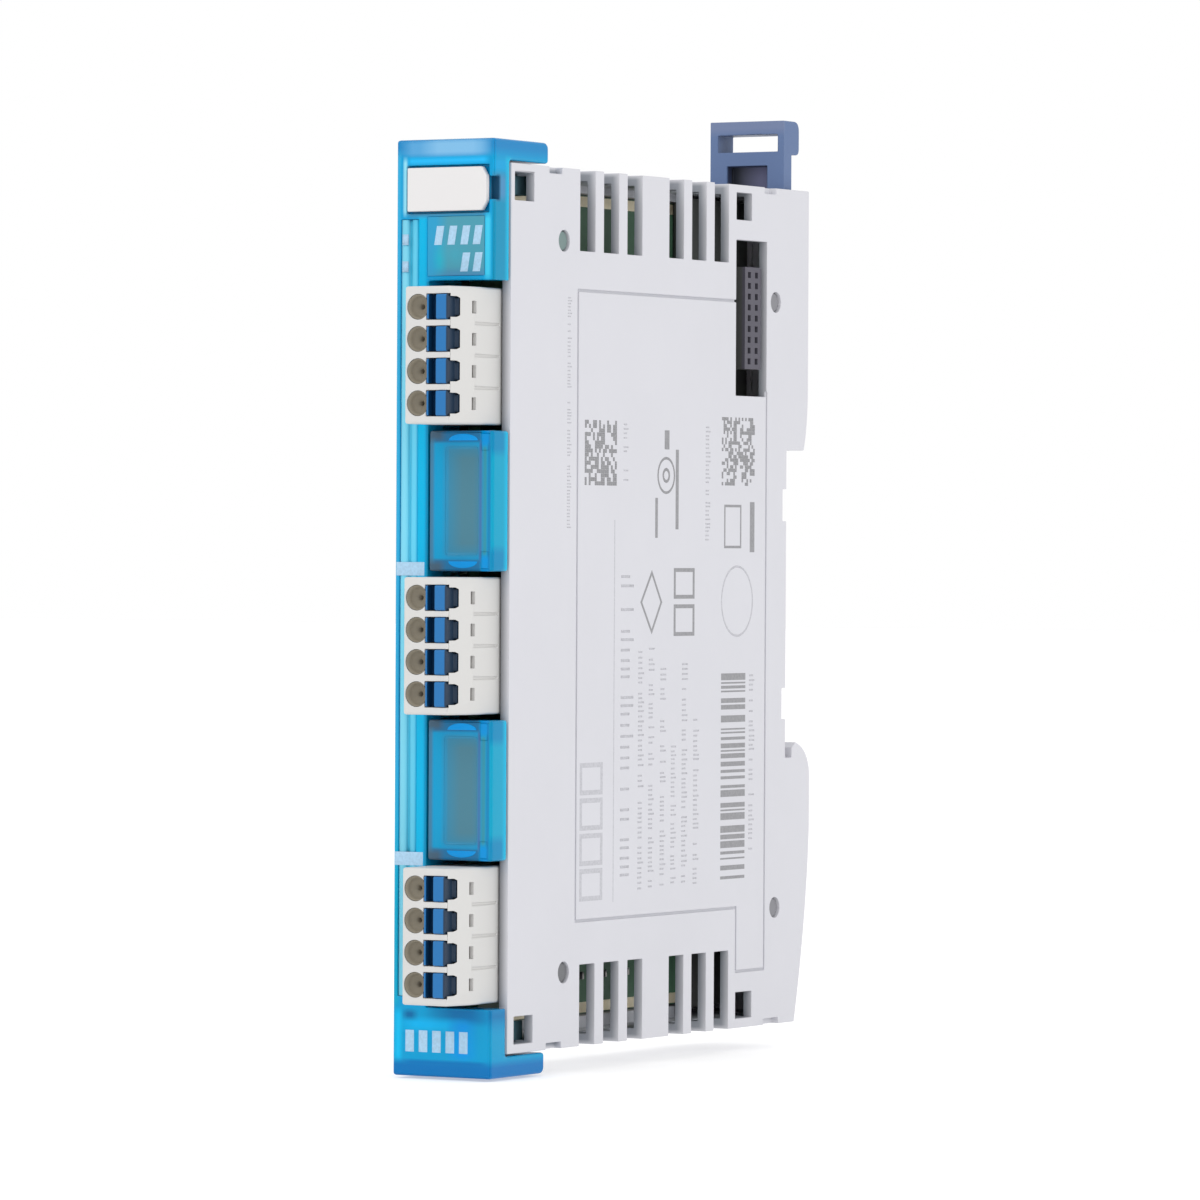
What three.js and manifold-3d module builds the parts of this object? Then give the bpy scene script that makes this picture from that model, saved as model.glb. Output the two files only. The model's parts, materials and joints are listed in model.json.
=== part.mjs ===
// A slim slice module for a 35 mm top-hat rail: a two-part housing, a translucent front cover with
// five connector places, three pluggable four-pole terminal blocks with release buttons, a sliding
// rail latch, and the board with its components inside. Millimetres.
//
// The pieces are drawn in the module's own axes: x = 0 is the left side, y = 0 the front of the
// cover and z = 0 the middle of its height. One group at the end moves the whole to the origin,
// the middle of the face that rests on the rail. +Y points to the rail and +Z up.
import * as THREE from 'three';
import { mergeVertices } from 'three/addons/utils/BufferGeometryUtils.js';
import Module from 'manifold-3d';

const wasm = await Module();
wasm.setup();

// ---- driving dimensions ----
const WIDTH = 12.8;
const WALL = 1.15;
const SEAM = 0.15;
const GAP = 0.25;
const BEYOND = 1;
const CURVE_STEPS = 10;

const HOUSING_TOP = 49.5;
const HOUSING_FRONT = 3.6;
const REAR_UPPER = 72.3;
const REAR_LOWER = 73.1;
const CAVITY_TOP = 48.3;
const CAVITY_BACK = 66.9;
const PARTING = 8.0;

const RAIL_SEAT = 67.1;
const RAIL_CENTRE = -0.4;
const NOTCH_TOP = 18.55;
const NOTCH_RELIEF = 66.2;
const HOOK_POCKET_FLOOR = -18.0;
const HOOK_FRONT = 68.7;
const HOOK_TIP = -16.2;

const COVER_TOP = 52.1;
const COVER_BACK = 3.35;
const COVER_SKIN = 1.4;
const FLANGE_BACK = 11.7;
const SPINE_RIGHT = 4.3;
const TOP_BLOCK_BOTTOM = 36.4;
const BOTTOM_BLOCK_TOP = -44.4;

// The light guide stands in a slot of the cover, and the tag in a seat near its top.
const GUIDE = { left: 1.35, right: 3.25, front: 0.15, half: 43.2 };
const TAG = { left: 1.6, right: 11.85, bottom: 44.1, top: 48.95 };

// The cover's two arms snap into the housing beside its front corner windows.
const CLIP_ARM = { x0: 8.45, x1: 10.2, back: 11.2, inner: 46.2, outer: 48.4 };

const PLACE_PITCH = 16.05;
const PLACE_MIDDLE = -4.12;

const PLUG_LEFT = 4.55;
const PLUG_RIGHT = 11.45;
const PLUG_FRONT = -5.4;
const PLUG_BACK = 9.2;
const PLUG_HALF_HEIGHT = 7.6;
const POLE_PITCH = 3.55;
const POLE_COUNT = 4;
const BEVEL_START = 10.35;
const BEVEL_BACK = -1.9;
const WIRE_HOLE = { x: 6.25, radius: 1.35, depth: 2.0, throat: 0.95 };
const TEST_SLOT = { y0: -2.35, y1: -1.3, half: 0.75, depth: 0.5 };
const PIN_X = 8.0;
const BUTTON = { left: 7.45, right: 10.2, half: 1.38, front: -5.6, back: -0.9 };
const CHAMBER = { x0: 5.2, x1: 10.6, y0: -0.6, y1: 8.0, half: 1.4 };

const BLANK_HALF_HEIGHT = 7.8;

const BOARD_LEFT = 3.7;
const BOARD_RIGHT = 5.3;
const BOARD_FRONT = 9.6;
const BOARD_BACK = 62.6;
const BOARD_TOP = 47.3;
const BOARD_BOTTOM = -46.8;
const PART_FOOT = BOARD_RIGHT + SEAM;

const LATCH_FRONT = 68.4;
const LATCH_BACK = 70.4;
const LATCH_LEFT = 1.4;
const LATCH_RIGHT = 11.45;
const LATCH_TOP = 57.8;
const LATCH_FOOT = 19.05;
const LATCH_HEAD_BACK = 72.2;
const LATCH_HEAD_BOTTOM = 53.8;
const LATCH_POCKET = { x0: 3.7, x1: 9.15, z0: 46.4, z1: 52.5, depth: 1.5 };

// The two rows of ventilation slots: where each slot starts along y, for the upper and lower row.
const VENT_WIDTH = 3.4;
const VENT_INNER = 40.3;
const VENT_WRAP = 3.3;
const VENTS_UPPER = [18.7, 24.0, 29.3, 38.9, 44.2, 49.5];
const VENTS_LOWER = [19.3, 24.7, 30.1, 39.6, 44.9, 50.2];
const LEFT_VENTS = 4;

// The bus contacts pass from module to module through openings in both sides.
const BUS_OPENING = { y0: 54.7, y1: 62.1, z0: 24.75, z1: 43.05 };
const BUS_SOCKET = { y0: 57.3, y1: 61.1, z0: 27.95, z1: 39.95 };
const BUS_CARRIER = { x1: 7.6, y0: 52.6, y1: 66.5, z0: 23.0, z1: 47.9 };
const BUS_FACE = WIDTH - 0.3;
const BUS_ROWS = 9;
const BUS_PITCH = 1.27;
const BUS_ROW_OFFSET = 0.85;
const BUS_REACH = -2.6;

// Locating pins join the two halves of the housing: [y, z].
const PINS = [[15.2, 41.3], [15.8, -41.0], [64.3, 36.0], [64.7, -35.7]];
const PIN_RADIUS = 0.9;
const PIN_CLEARANCE = 0.3;
const PIN_HOLE_RADIUS = 1.22;
const PIN_END = 10.4;

// Corner windows take the neighbouring module's hooks: [y0, y1, z0, z1].
const CORNER_WINDOWS = [
  [4.4, 8.6, 45.4, 48.6],
  [5.0, 9.1, -48.5, -45.4],
  [54.7, 58.4, 45.4, 48.6],
  [55.3, 59.2, -48.4, -45.3],
];

// Small notches in the right side's long edges: [y0, y1, side].
const EDGE_NOTCHES = [[11.9, 14.7, 1], [61.5, 64.3, 1], [12.0, 15.3, -1], [62.1, 65.7, -1]];

// Parts on the board's right face: [name, y, z, size along y, size along z, height].
const BOARD_PARTS = [
  ['controller_chip', 28, 14, 9, 9, 1.1],
  ['converter_chip', 30, -14, 7, 7, 1.0],
  ['isolator_chip', 42, -2, 6, 8, 1.6],
  ['isolation_transformer', 50, -22, 10, 9, 5.2],
  ['power_inductor', 36, -32, 7, 7, 3.6],
];
const CAPACITORS = [[46, 22], [46, 15]];
const LED_HEIGHTS = [40.2, 37.6, 4.4, -27.7];

// ---- solids ----
function toSolid(geometry) {
  const bare = geometry.clone();
  bare.deleteAttribute('normal');
  bare.deleteAttribute('uv');
  const merged = mergeVertices(bare, 1e-4);
  return new wasm.Manifold(new wasm.Mesh({
    numProp: 3,
    vertProperties: new Float32Array(merged.attributes.position.array),
    triVerts: new Uint32Array(merged.index.array),
  }));
}

function toGeometry(solid) {
  const mesh = solid.getMesh();
  const geometry = new THREE.BufferGeometry();
  geometry.setAttribute('position', new THREE.BufferAttribute(new Float32Array(mesh.vertProperties), 3));
  geometry.setIndex(new THREE.BufferAttribute(new Uint32Array(mesh.triVerts), 1));
  return geometry;
}

function box(x0, x1, y0, y1, z0, z1) {
  const geometry = new THREE.BoxGeometry(x1 - x0, y1 - y0, z1 - z0);
  geometry.translate((x0 + x1) / 2, (y0 + y1) / 2, (z0 + z1) / 2);
  return toSolid(geometry);
}

// A box whose heights are given from the middle outwards, above (side 1) or below it (side -1).
function sideBox(side, x0, x1, y0, y1, inner, outer) {
  const low = side > 0 ? inner : -outer;
  return box(x0, x1, y0, y1, low, low + outer - inner);
}

function shapeOf(points) {
  return new THREE.Shape(points.map(([u, v]) => new THREE.Vector2(u, v)));
}

function extruded(shape, depth) {
  return new THREE.ExtrudeGeometry(shape, { depth, bevelEnabled: false, curveSegments: CURVE_STEPS });
}

// An outline in (y, z), pushed along x.
function prismX(shape, x0, x1) {
  const geometry = extruded(shape, x1 - x0);
  geometry.translate(0, 0, x0);
  geometry.applyMatrix4(new THREE.Matrix4().set(0, 0, 1, 0, 1, 0, 0, 0, 0, 1, 0, 0, 0, 0, 0, 1));
  return toSolid(geometry);
}

// An outline in (x, y), pushed along z.
function prismZ(shape, z0, z1) {
  const geometry = extruded(shape, z1 - z0);
  geometry.translate(0, 0, z0);
  return toSolid(geometry);
}

// An outline in (z, x), pushed along y.
function prismY(shape, y0, y1) {
  const geometry = extruded(shape, y1 - y0);
  geometry.translate(0, 0, y0);
  geometry.applyMatrix4(new THREE.Matrix4().set(0, 1, 0, 0, 0, 0, 1, 0, 1, 0, 0, 0, 0, 0, 0, 1));
  return toSolid(geometry);
}

function rodX(y, z, radius, x0, x1, sides = 24) {
  const geometry = new THREE.CylinderGeometry(radius, radius, x1 - x0, sides);
  geometry.rotateZ(Math.PI / 2);
  geometry.translate((x0 + x1) / 2, y, z);
  return toSolid(geometry);
}

function rodY(x, z, radius, y0, y1, sides = 24) {
  const geometry = new THREE.CylinderGeometry(radius, radius, y1 - y0, sides);
  geometry.translate(x, (y0 + y1) / 2, z);
  return toSolid(geometry);
}

function joined(first, ...others) {
  return others.reduce((sum, next) => sum.add(next), first);
}

function cut(first, ...others) {
  return others.reduce((rest, next) => rest.subtract(next), first);
}

// ---- materials ----
function plastic(color, roughness = 0.5) {
  return new THREE.MeshStandardMaterial({ color, roughness, metalness: 0 });
}

function metal(color, roughness = 0.35) {
  return new THREE.MeshStandardMaterial({ color, roughness, metalness: 1 });
}

const HOUSING_GREY = plastic(0xdedee4, 0.55);
const COVER_BLUE = plastic(0x0096d7, 0.2);
const GUIDE_CLEAR = plastic(0x9fe2f5, 0.15);
const TAG_WHITE = plastic(0xebe8e6, 0.6);
const PLUG_WHITE = plastic(0xe1deda, 0.5);
const BUTTON_BLUE = plastic(0x2d7dbe, 0.4);
const LATCH_BLUE = plastic(0x5f78aa, 0.45);
const BOARD_GREEN = plastic(0x3c5541, 0.5);
const BUS_BLACK = plastic(0x2a2a2d, 0.55);
const CHIP_BLACK = plastic(0x1c1c1e, 0.45);
const CLAMP_STEEL = metal(0xb9a98c, 0.35);
const CAN_METAL = metal(0xc4c6ca, 0.3);

// ---- the housing ----
function housingOutline() {
  const outline = new THREE.Shape();
  outline.moveTo(HOUSING_FRONT, -HOUSING_TOP);
  outline.lineTo(69.6, -HOUSING_TOP);
  outline.quadraticCurveTo(72.6, -37, REAR_LOWER, -26.5);
  outline.lineTo(REAR_LOWER, -20.4);
  outline.quadraticCurveTo(REAR_LOWER, -17.2, 69.7, HOOK_TIP);
  outline.lineTo(HOOK_FRONT, -16.8);
  outline.lineTo(HOOK_FRONT, HOOK_POCKET_FLOOR);
  outline.lineTo(RAIL_SEAT, HOOK_POCKET_FLOOR);
  outline.lineTo(RAIL_SEAT, -13.4);
  outline.lineTo(NOTCH_RELIEF, -13.4);
  outline.lineTo(NOTCH_RELIEF, -9.7);
  outline.lineTo(RAIL_SEAT, -9.7);
  outline.lineTo(RAIL_SEAT, 10.1);
  outline.lineTo(NOTCH_RELIEF, 10.1);
  outline.lineTo(NOTCH_RELIEF, 13.9);
  outline.lineTo(RAIL_SEAT, 13.9);
  outline.lineTo(RAIL_SEAT, NOTCH_TOP);
  outline.lineTo(71.3, NOTCH_TOP);
  outline.quadraticCurveTo(72.1, 20.6, REAR_UPPER, 24.8);
  outline.lineTo(REAR_UPPER, HOUSING_TOP);
  outline.lineTo(HOUSING_FRONT, HOUSING_TOP);
  return outline;
}

function cavityOutline() {
  const outline = new THREE.Shape();
  outline.moveTo(HOUSING_FRONT - BEYOND, -CAVITY_TOP);
  outline.lineTo(68.5, -CAVITY_TOP);
  outline.quadraticCurveTo(71.3, -37, REAR_LOWER - 1.3, -26.5);
  outline.lineTo(REAR_LOWER - 1.3, -19.4);
  outline.lineTo(NOTCH_RELIEF - 1.2, -19.4);
  outline.lineTo(NOTCH_RELIEF - 1.2, 19.8);
  outline.lineTo(CAVITY_BACK, 19.8);
  outline.lineTo(CAVITY_BACK, CAVITY_TOP);
  outline.lineTo(HOUSING_FRONT - BEYOND, CAVITY_TOP);
  return outline;
}

// Each slot opens the side wall and runs on over the edge into the top or bottom wall.
function ventCutters(x0, x1, count = VENTS_UPPER.length) {
  const rows = [[VENTS_UPPER, 1], [VENTS_LOWER, -1]];
  return rows.flatMap(([starts, side]) => starts.slice(0, count).map((y) => (
    sideBox(side, x0, x1, y, y + VENT_WIDTH, VENT_INNER, HOUSING_TOP + BEYOND)
  )));
}

function latchChannel(x0, x1) {
  return box(x0, x1, LATCH_FRONT - 0.3, LATCH_BACK + 0.3, NOTCH_TOP - BEYOND, HOUSING_TOP + BEYOND);
}

function busOpening(x0, x1) {
  const { y0, y1, z0, z1 } = BUS_OPENING;
  return box(x0, x1, y0, y1, z0, z1);
}

// A hook that snaps into the neighbour's corner window, with its barb to the rear.
function neighbourHook([y0, y1, z0, z1]) {
  const root = 0.2;
  const tip = -2.1;
  const barb = -1.5;
  const profile = shapeOf([
    [root, y0 + 0.6], [tip, y0 + 1.0], [tip, y1 - 1.5], [barb, y1 - 0.7], [barb, y1 - 1.3], [root, y1 - 1.3],
  ]);
  return prismZ(profile, z0 + 0.5, z1 - 0.5);
}

function leftShell() {
  const vents = ventCutters(-BEYOND, VENT_WRAP, LEFT_VENTS);
  const tray = cut(
    prismX(housingOutline(), 0, PARTING),
    prismX(cavityOutline(), WALL, PARTING + BEYOND),
    latchChannel(WALL - 0.05, PARTING + BEYOND),
    busOpening(-BEYOND, WALL + BEYOND),
    ...vents,
  );
  const boardLedges = [[1, BOARD_TOP], [-1, -BOARD_BOTTOM]].map(([side, edge]) => (
    cut(sideBox(side, WALL - 0.1, BOARD_RIGHT + 1.2, 22, 52, edge + 0.12, CAVITY_TOP + 0.1), ...vents)
  ));
  const pins = PINS.flatMap(([y, z]) => [
    rodX(y, z, PIN_RADIUS, WALL - 0.2, PIN_END),
    rodX(y, z, 2 * PIN_RADIUS, WALL - 0.2, BOARD_LEFT - SEAM),
  ]);
  const latchStop = box(4.1, 7.6, LATCH_FRONT - 0.4, LATCH_FRONT + 0.8, 46.7, 48.7);
  return joined(tray, ...boardLedges, ...pins, latchStop, ...CORNER_WINDOWS.map(neighbourHook));
}

// The rating label's area: a rectangle with a column beside it that meets the bus opening.
function labelOutline(inset) {
  const front = 18.2 + inset;
  const step = 55.2 - inset;
  const back = 62.3 - inset;
  const [top, columnTop, bottom, columnBottom] = [36.0 - inset, 25.4 - inset, -35.5 + inset, -43.0 + inset];
  return shapeOf([
    [front, top], [step, top], [step, columnTop], [back, columnTop],
    [back, columnBottom], [step + 2 * inset, columnBottom], [step + 2 * inset, bottom], [front, bottom],
  ]);
}

// A thin engraved line round that area.
function labelGroove() {
  const lineWidth = 0.3;
  const lineDepth = 0.25;
  const plate = prismX(labelOutline(0), WIDTH - lineDepth, WIDTH + BEYOND);
  return plate.subtract(prismX(labelOutline(lineWidth), WIDTH - BEYOND, WIDTH + 2 * BEYOND));
}

function rightShell() {
  const x0 = PARTING + SEAM;
  const wallInner = WIDTH - WALL;
  const cornerCuts = CORNER_WINDOWS.map(([y0, y1, z0, z1]) => box(x0 + 0.2, WIDTH + BEYOND, y0, y1, z0, z1));
  const armChannels = [1, -1].map((side) => sideBox(
    side, CLIP_ARM.x0 - GAP, CLIP_ARM.x1 + GAP, HOUSING_FRONT - BEYOND, CLIP_ARM.back + GAP,
    CLIP_ARM.inner, CLIP_ARM.outer + 0.2,
  ));
  const edgeNotches = EDGE_NOTCHES.map(([y0, y1, side]) => (
    sideBox(side, WIDTH - 0.9, WIDTH + BEYOND, y0, y1, HOUSING_TOP - 0.75, HOUSING_TOP + BEYOND)
  ));
  const pinHoles = PINS.map(([y, z]) => rodX(y, z, PIN_HOLE_RADIUS, wallInner - BEYOND, WIDTH + BEYOND, 32));
  return cut(
    prismX(housingOutline(), x0, WIDTH),
    prismX(cavityOutline(), x0 - BEYOND, wallInner),
    latchChannel(x0 - BEYOND, LATCH_RIGHT + 0.3),
    busOpening(wallInner - BEYOND, WIDTH + BEYOND),
    ...ventCutters(WIDTH - VENT_WRAP, WIDTH + BEYOND),
    ...cornerCuts,
    ...armChannels,
    ...edgeNotches,
    ...pinHoles,
    labelGroove(),
  );
}

// ---- the front ----
function frontCover() {
  const front = box(0, WIDTH, 0, COVER_BACK, -COVER_TOP, COVER_TOP);
  const flanges = [1, -1].map((side) => (
    sideBox(side, 0, WIDTH, COVER_BACK - 0.2, FLANGE_BACK, HOUSING_TOP + GAP, COVER_TOP)
  ));
  const clipArms = [1, -1].map((side) => (
    sideBox(side, CLIP_ARM.x0, CLIP_ARM.x1, COVER_SKIN - 0.2, CLIP_ARM.back, CLIP_ARM.inner, CLIP_ARM.outer)
  ));
  const back = COVER_BACK + BEYOND;
  const places = box(SPINE_RIGHT, WIDTH + BEYOND, -BEYOND, back, BOTTOM_BLOCK_TOP, TOP_BLOCK_BOTTOM);
  const slotHalf = GUIDE.half + 0.3;
  const guideSlot = box(GUIDE.left - 0.2, GUIDE.right + 0.2, -BEYOND, back, -slotHalf, slotHalf);
  const hollows = [[1, TOP_BLOCK_BOTTOM], [-1, -BOTTOM_BLOCK_TOP]].map(([side, edge]) => (
    sideBox(side, WALL, WIDTH - WALL, COVER_SKIN, back, edge + 1.1, HOUSING_TOP - 0.3)
  ));
  const tagSeat = box(TAG.left - GAP, TAG.right + GAP, -BEYOND, 0.75, TAG.bottom - GAP, TAG.top + GAP);
  const tagNotch = box(TAG.right, WIDTH + BEYOND, -BEYOND, 0.95, TAG.bottom + 1.2, TAG.top - 1.05);
  const typePanel = box(3.75, WIDTH - 0.8, -BEYOND, 0.35, TOP_BLOCK_BOTTOM + 0.6, TAG.bottom - 1.0);
  const shell = cut(front, places, guideSlot, ...hollows, tagSeat, tagNotch, typePanel);
  return joined(shell, ...flanges, ...clipArms);
}

// The guide carries the diodes' light from the board to the front, with two ribs to look at.
function lightGuide() {
  const ribWidth = 0.7;
  const bar = box(GUIDE.left, GUIDE.right, 0.5, BOARD_FRONT - 0.4, -GUIDE.half, GUIDE.half);
  const ribs = [GUIDE.left, GUIDE.right - ribWidth].map((x) => (
    box(x, x + ribWidth, GUIDE.front, BEYOND, -GUIDE.half, GUIDE.half)
  ));
  return joined(bar, ...ribs);
}

function markingTag() {
  const cornerX = TAG.right - 0.6;
  const cornerZ = 0.95;
  const outline = shapeOf([
    [TAG.bottom, TAG.left], [TAG.bottom, cornerX], [TAG.bottom + cornerZ, TAG.right],
    [TAG.top - cornerZ, TAG.right], [TAG.top, cornerX], [TAG.top, TAG.left],
  ]);
  return prismY(outline, -0.3, 0.5);
}

// A cap that closes an unused connector place: a raised pad in a frame, and two legs behind.
function blankCap() {
  const half = BLANK_HALF_HEIGHT;
  const rim = 1.1;
  const body = box(PLUG_LEFT, WIDTH, 0, COVER_BACK, -half, half);
  const hollow = box(PLUG_LEFT + rim, WIDTH - rim, 1.3, COVER_BACK + BEYOND, rim - half, half - rim);
  const frameGroove = cut(
    box(5.25, 11.7, -BEYOND, 0.35, -7.1, 7.1),
    box(6.15, 10.9, -2 * BEYOND, BEYOND, -6.0, 6.0),
  );
  const cornerSteps = [1, -1].map((side) => (
    sideBox(side, WIDTH - 0.8, WIDTH + BEYOND, -BEYOND, 0.85, 5.6, half + BEYOND)
  ));
  const legs = [-4.4, 4.4].map((z) => (
    box(PLUG_LEFT + 0.2, PLUG_LEFT + 1.2, COVER_BACK - 0.5, 8.4, z - 1.5, z + 1.5)
  ));
  return joined(cut(body, hollow, frameGroove, ...cornerSteps), ...legs);
}

// ---- the pluggable terminal block ----
function poleHeights() {
  return Array.from({ length: POLE_COUNT }, (_, i) => ((POLE_COUNT - 1) / 2 - i) * POLE_PITCH);
}

function poleCavity(z) {
  const funnelEnd = PLUG_FRONT + WIRE_HOLE.depth;
  const wellHalf = BUTTON.half + 0.15;
  const portHalf = 0.65;
  const funnel = rodY(WIRE_HOLE.x, z, WIRE_HOLE.radius, PLUG_FRONT - BEYOND, funnelEnd);
  const throat = rodY(WIRE_HOLE.x, z, WIRE_HOLE.throat, funnelEnd - 0.2, 0);
  const well = box(BUTTON.left - 0.15, BEVEL_START, PLUG_FRONT - BEYOND, -0.3, z - wellHalf, z + wellHalf);
  const sideSlot = box(BEVEL_START - 0.2, BEVEL_START + 0.45, PLUG_FRONT - BEYOND, -1.3, z - 1.1, z + 1.1);
  const chamber = box(
    CHAMBER.x0, CHAMBER.x1, CHAMBER.y0, CHAMBER.y1, z - CHAMBER.half, z + CHAMBER.half);
  const pinPort = box(
    PIN_X - portHalf, PIN_X + portHalf, CHAMBER.y1 - 0.2, PLUG_BACK + BEYOND, z - portHalf, z + portHalf);
  const testSlot = box(
    PLUG_RIGHT - TEST_SLOT.depth, PLUG_RIGHT + BEYOND, TEST_SLOT.y0, TEST_SLOT.y1,
    z - TEST_SLOT.half, z + TEST_SLOT.half);
  return [funnel, throat, well, sideSlot, chamber, pinPort, testSlot];
}

function plugBody() {
  const outline = shapeOf([
    [PLUG_LEFT, PLUG_FRONT], [BEVEL_START, PLUG_FRONT], [PLUG_RIGHT, BEVEL_BACK],
    [PLUG_RIGHT, PLUG_BACK], [PLUG_LEFT, PLUG_BACK],
  ]);
  const block = prismZ(outline, -PLUG_HALF_HEIGHT, PLUG_HALF_HEIGHT);
  const poleLines = [-1, 0, 1].map((i) => {
    const z = i * POLE_PITCH;
    return box(PLUG_RIGHT - 0.2, PLUG_RIGHT + BEYOND, -1.7, 3.3, z - 0.15, z + 0.15);
  });
  return cut(block, ...poleHeights().flatMap(poleCavity), ...poleLines);
}

// A button: a screwdriver groove in its head and a tongue that shows at the bevel.
function releaseButton() {
  const { left, right, half, front, back } = BUTTON;
  const block = box(left, right, front, back, -half, half);
  const tongue = box(right - 0.1, 10.65, -4.0, -2.8, -0.95, 0.95);
  const groove = box(7.95, 8.8, front - BEYOND, front + 1.2, -half - BEYOND, half + BEYOND);
  return joined(block, tongue).subtract(groove);
}

// The wire clamp: a current bar that ends in a fork round the header's pin.
function wireClamp() {
  const sheet = 0.35;
  const [wireSide, forkLeft, forkRight] = [5.5, 6.9, 9.1];
  const [barFront, barBack, forkEnd] = [3.3, 3.3 + sheet, 7.6];
  const strip = shapeOf([
    [wireSide, 0.8], [wireSide + sheet, 0.8], [wireSide + sheet, barFront], [forkRight, barFront],
    [forkRight, forkEnd], [forkRight - sheet, forkEnd], [forkRight - sheet, barBack],
    [forkLeft + sheet, barBack], [forkLeft + sheet, forkEnd], [forkLeft, forkEnd],
    [forkLeft, barBack], [wireSide, barBack],
  ]);
  return prismZ(strip, -1.05, 1.05);
}

// The header on the board that the plug goes onto, its four pins moulded in.
function pinHeader() {
  const pinHalf = 0.35;
  const bar = box(PART_FOOT, 10.8, PLUG_BACK + 0.3, 13.0, -7.3, 7.3);
  const pins = poleHeights().map((z) => (
    box(PIN_X - pinHalf, PIN_X + pinHalf, 4.2, 10, z - pinHalf, z + pinHalf)
  ));
  return joined(bar, ...pins);
}

// ---- the rail latch ----
function railLatch() {
  const profile = new THREE.Shape();
  profile.moveTo(LATCH_FRONT, LATCH_FOOT + 0.6);
  profile.lineTo(LATCH_FRONT + 0.6, LATCH_FOOT);
  profile.lineTo(LATCH_BACK, LATCH_FOOT);
  profile.lineTo(LATCH_BACK, LATCH_HEAD_BOTTOM);
  profile.lineTo(LATCH_HEAD_BACK - 0.8, LATCH_HEAD_BOTTOM);
  profile.quadraticCurveTo(LATCH_HEAD_BACK, LATCH_HEAD_BOTTOM, LATCH_HEAD_BACK, LATCH_HEAD_BOTTOM + 0.8);
  profile.lineTo(LATCH_HEAD_BACK, LATCH_TOP - 1.2);
  profile.quadraticCurveTo(LATCH_HEAD_BACK, LATCH_TOP, LATCH_HEAD_BACK - 1.2, LATCH_TOP);
  profile.lineTo(LATCH_FRONT, LATCH_TOP);
  const bar = prismX(profile, LATCH_LEFT, LATCH_RIGHT);
  const { x0, x1, z0, z1, depth } = LATCH_POCKET;
  const stopPocket = box(x0, x1, LATCH_FRONT - BEYOND, LATCH_FRONT + depth, z0, z1);
  const toolSlot = box(2.45, 10.6, LATCH_FRONT - BEYOND, LATCH_HEAD_BACK + BEYOND, 54.15, 56.2);
  return cut(bar, toolSlot, stopPocket);
}

// ---- the board and what it carries ----
function pinClearances(x0, x1) {
  return PINS.map(([y, z]) => rodX(y, z, PIN_RADIUS + PIN_CLEARANCE, x0 - BEYOND, x1 + BEYOND));
}

function mainBoard() {
  const rearStep = 56;
  const outline = shapeOf([
    [BOARD_FRONT, BOARD_BOTTOM], [rearStep, BOARD_BOTTOM], [rearStep, -40.5], [BOARD_BACK, -40.5],
    [BOARD_BACK, 40.2], [rearStep, 40.2], [rearStep, BOARD_TOP], [BOARD_FRONT, BOARD_TOP],
  ]);
  return cut(prismX(outline, BOARD_LEFT, BOARD_RIGHT), ...pinClearances(BOARD_LEFT, BOARD_RIGHT));
}

// A dark sheet that keeps the board's rear edge apart from the rail.
function insulatingShield() {
  const thickness = 0.8;
  const sheet = box(PART_FOOT, PART_FOOT + thickness, 56, 64.6, 1 - CAVITY_TOP, BUS_CARRIER.z0 - 0.3);
  return cut(sheet, ...pinClearances(PART_FOOT, PART_FOOT + thickness));
}

// The middles of the bus contacts: two columns, in [y, z].
function busContacts() {
  const middleY = (BUS_SOCKET.y0 + BUS_SOCKET.y1) / 2;
  const middleZ = (BUS_SOCKET.z0 + BUS_SOCKET.z1) / 2;
  return Array.from({ length: BUS_ROWS }, (_, i) => middleZ + (i - (BUS_ROWS - 1) / 2) * BUS_PITCH)
    .flatMap((z) => [-1, 1].map((side) => [middleY + side * BUS_ROW_OFFSET, z]));
}

function busSocket() {
  const { y0, y1, z0, z1 } = BUS_SOCKET;
  const { x1, y0: carrierFront, y1: carrierBack, z0: carrierBottom, z1: carrierTop } = BUS_CARRIER;
  const portHalf = 0.35;
  const ports = busContacts().map(([y, z]) => (
    box(BUS_FACE - 3.3, WIDTH, y - portHalf, y + portHalf, z - portHalf, z + portHalf)
  ));
  const carrier = box(PART_FOOT, x1, carrierFront, carrierBack, carrierBottom, carrierTop);
  const tower = box(x1 - 0.1, BUS_FACE, y0, y1, z0, z1);
  return cut(joined(carrier, tower), ...ports, ...pinClearances(PART_FOOT, x1));
}

// The mating shroud reaches out of the left side, round the neighbour's socket.
function busPlug() {
  const { y0, y1, z0, z1 } = BUS_SOCKET;
  const floor = 1.6;
  const pinHalf = 0.2;
  const shroud = cut(
    box(BUS_REACH, BOARD_LEFT - SEAM, y0 - 0.8, y1 + 0.8, z0 - 1.6, z1 + 1.6),
    box(BUS_REACH - BEYOND, floor, y0 - 0.3, y1 + 0.3, z0 - 0.3, z1 + 0.3),
  );
  const pins = busContacts().map(([y, z]) => (
    box(BUS_REACH + 0.7, floor + 0.3, y - pinHalf, y + pinHalf, z - pinHalf, z + pinHalf)
  ));
  return joined(shroud, ...pins);
}

// The transformer and inductor have a notch in each end; the chips are plain bodies.
function boardPart(y, z, sizeY, sizeZ, height) {
  const lowHeight = 2;
  const top = PART_FOOT + height;
  const body = box(PART_FOOT, top, y - sizeY / 2, y + sizeY / 2, z - sizeZ / 2, z + sizeZ / 2);
  if (height < lowHeight) return body;
  const notches = [1, -1].map((side) => box(
    PART_FOOT + 1, top + BEYOND, y - sizeY / 4, y + sizeY / 4,
    z + Math.min(side * (sizeZ / 2 - 0.9), side * (sizeZ / 2 + BEYOND)),
    z + Math.max(side * (sizeZ / 2 - 0.9), side * (sizeZ / 2 + BEYOND)),
  ));
  return cut(body, ...notches);
}

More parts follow.
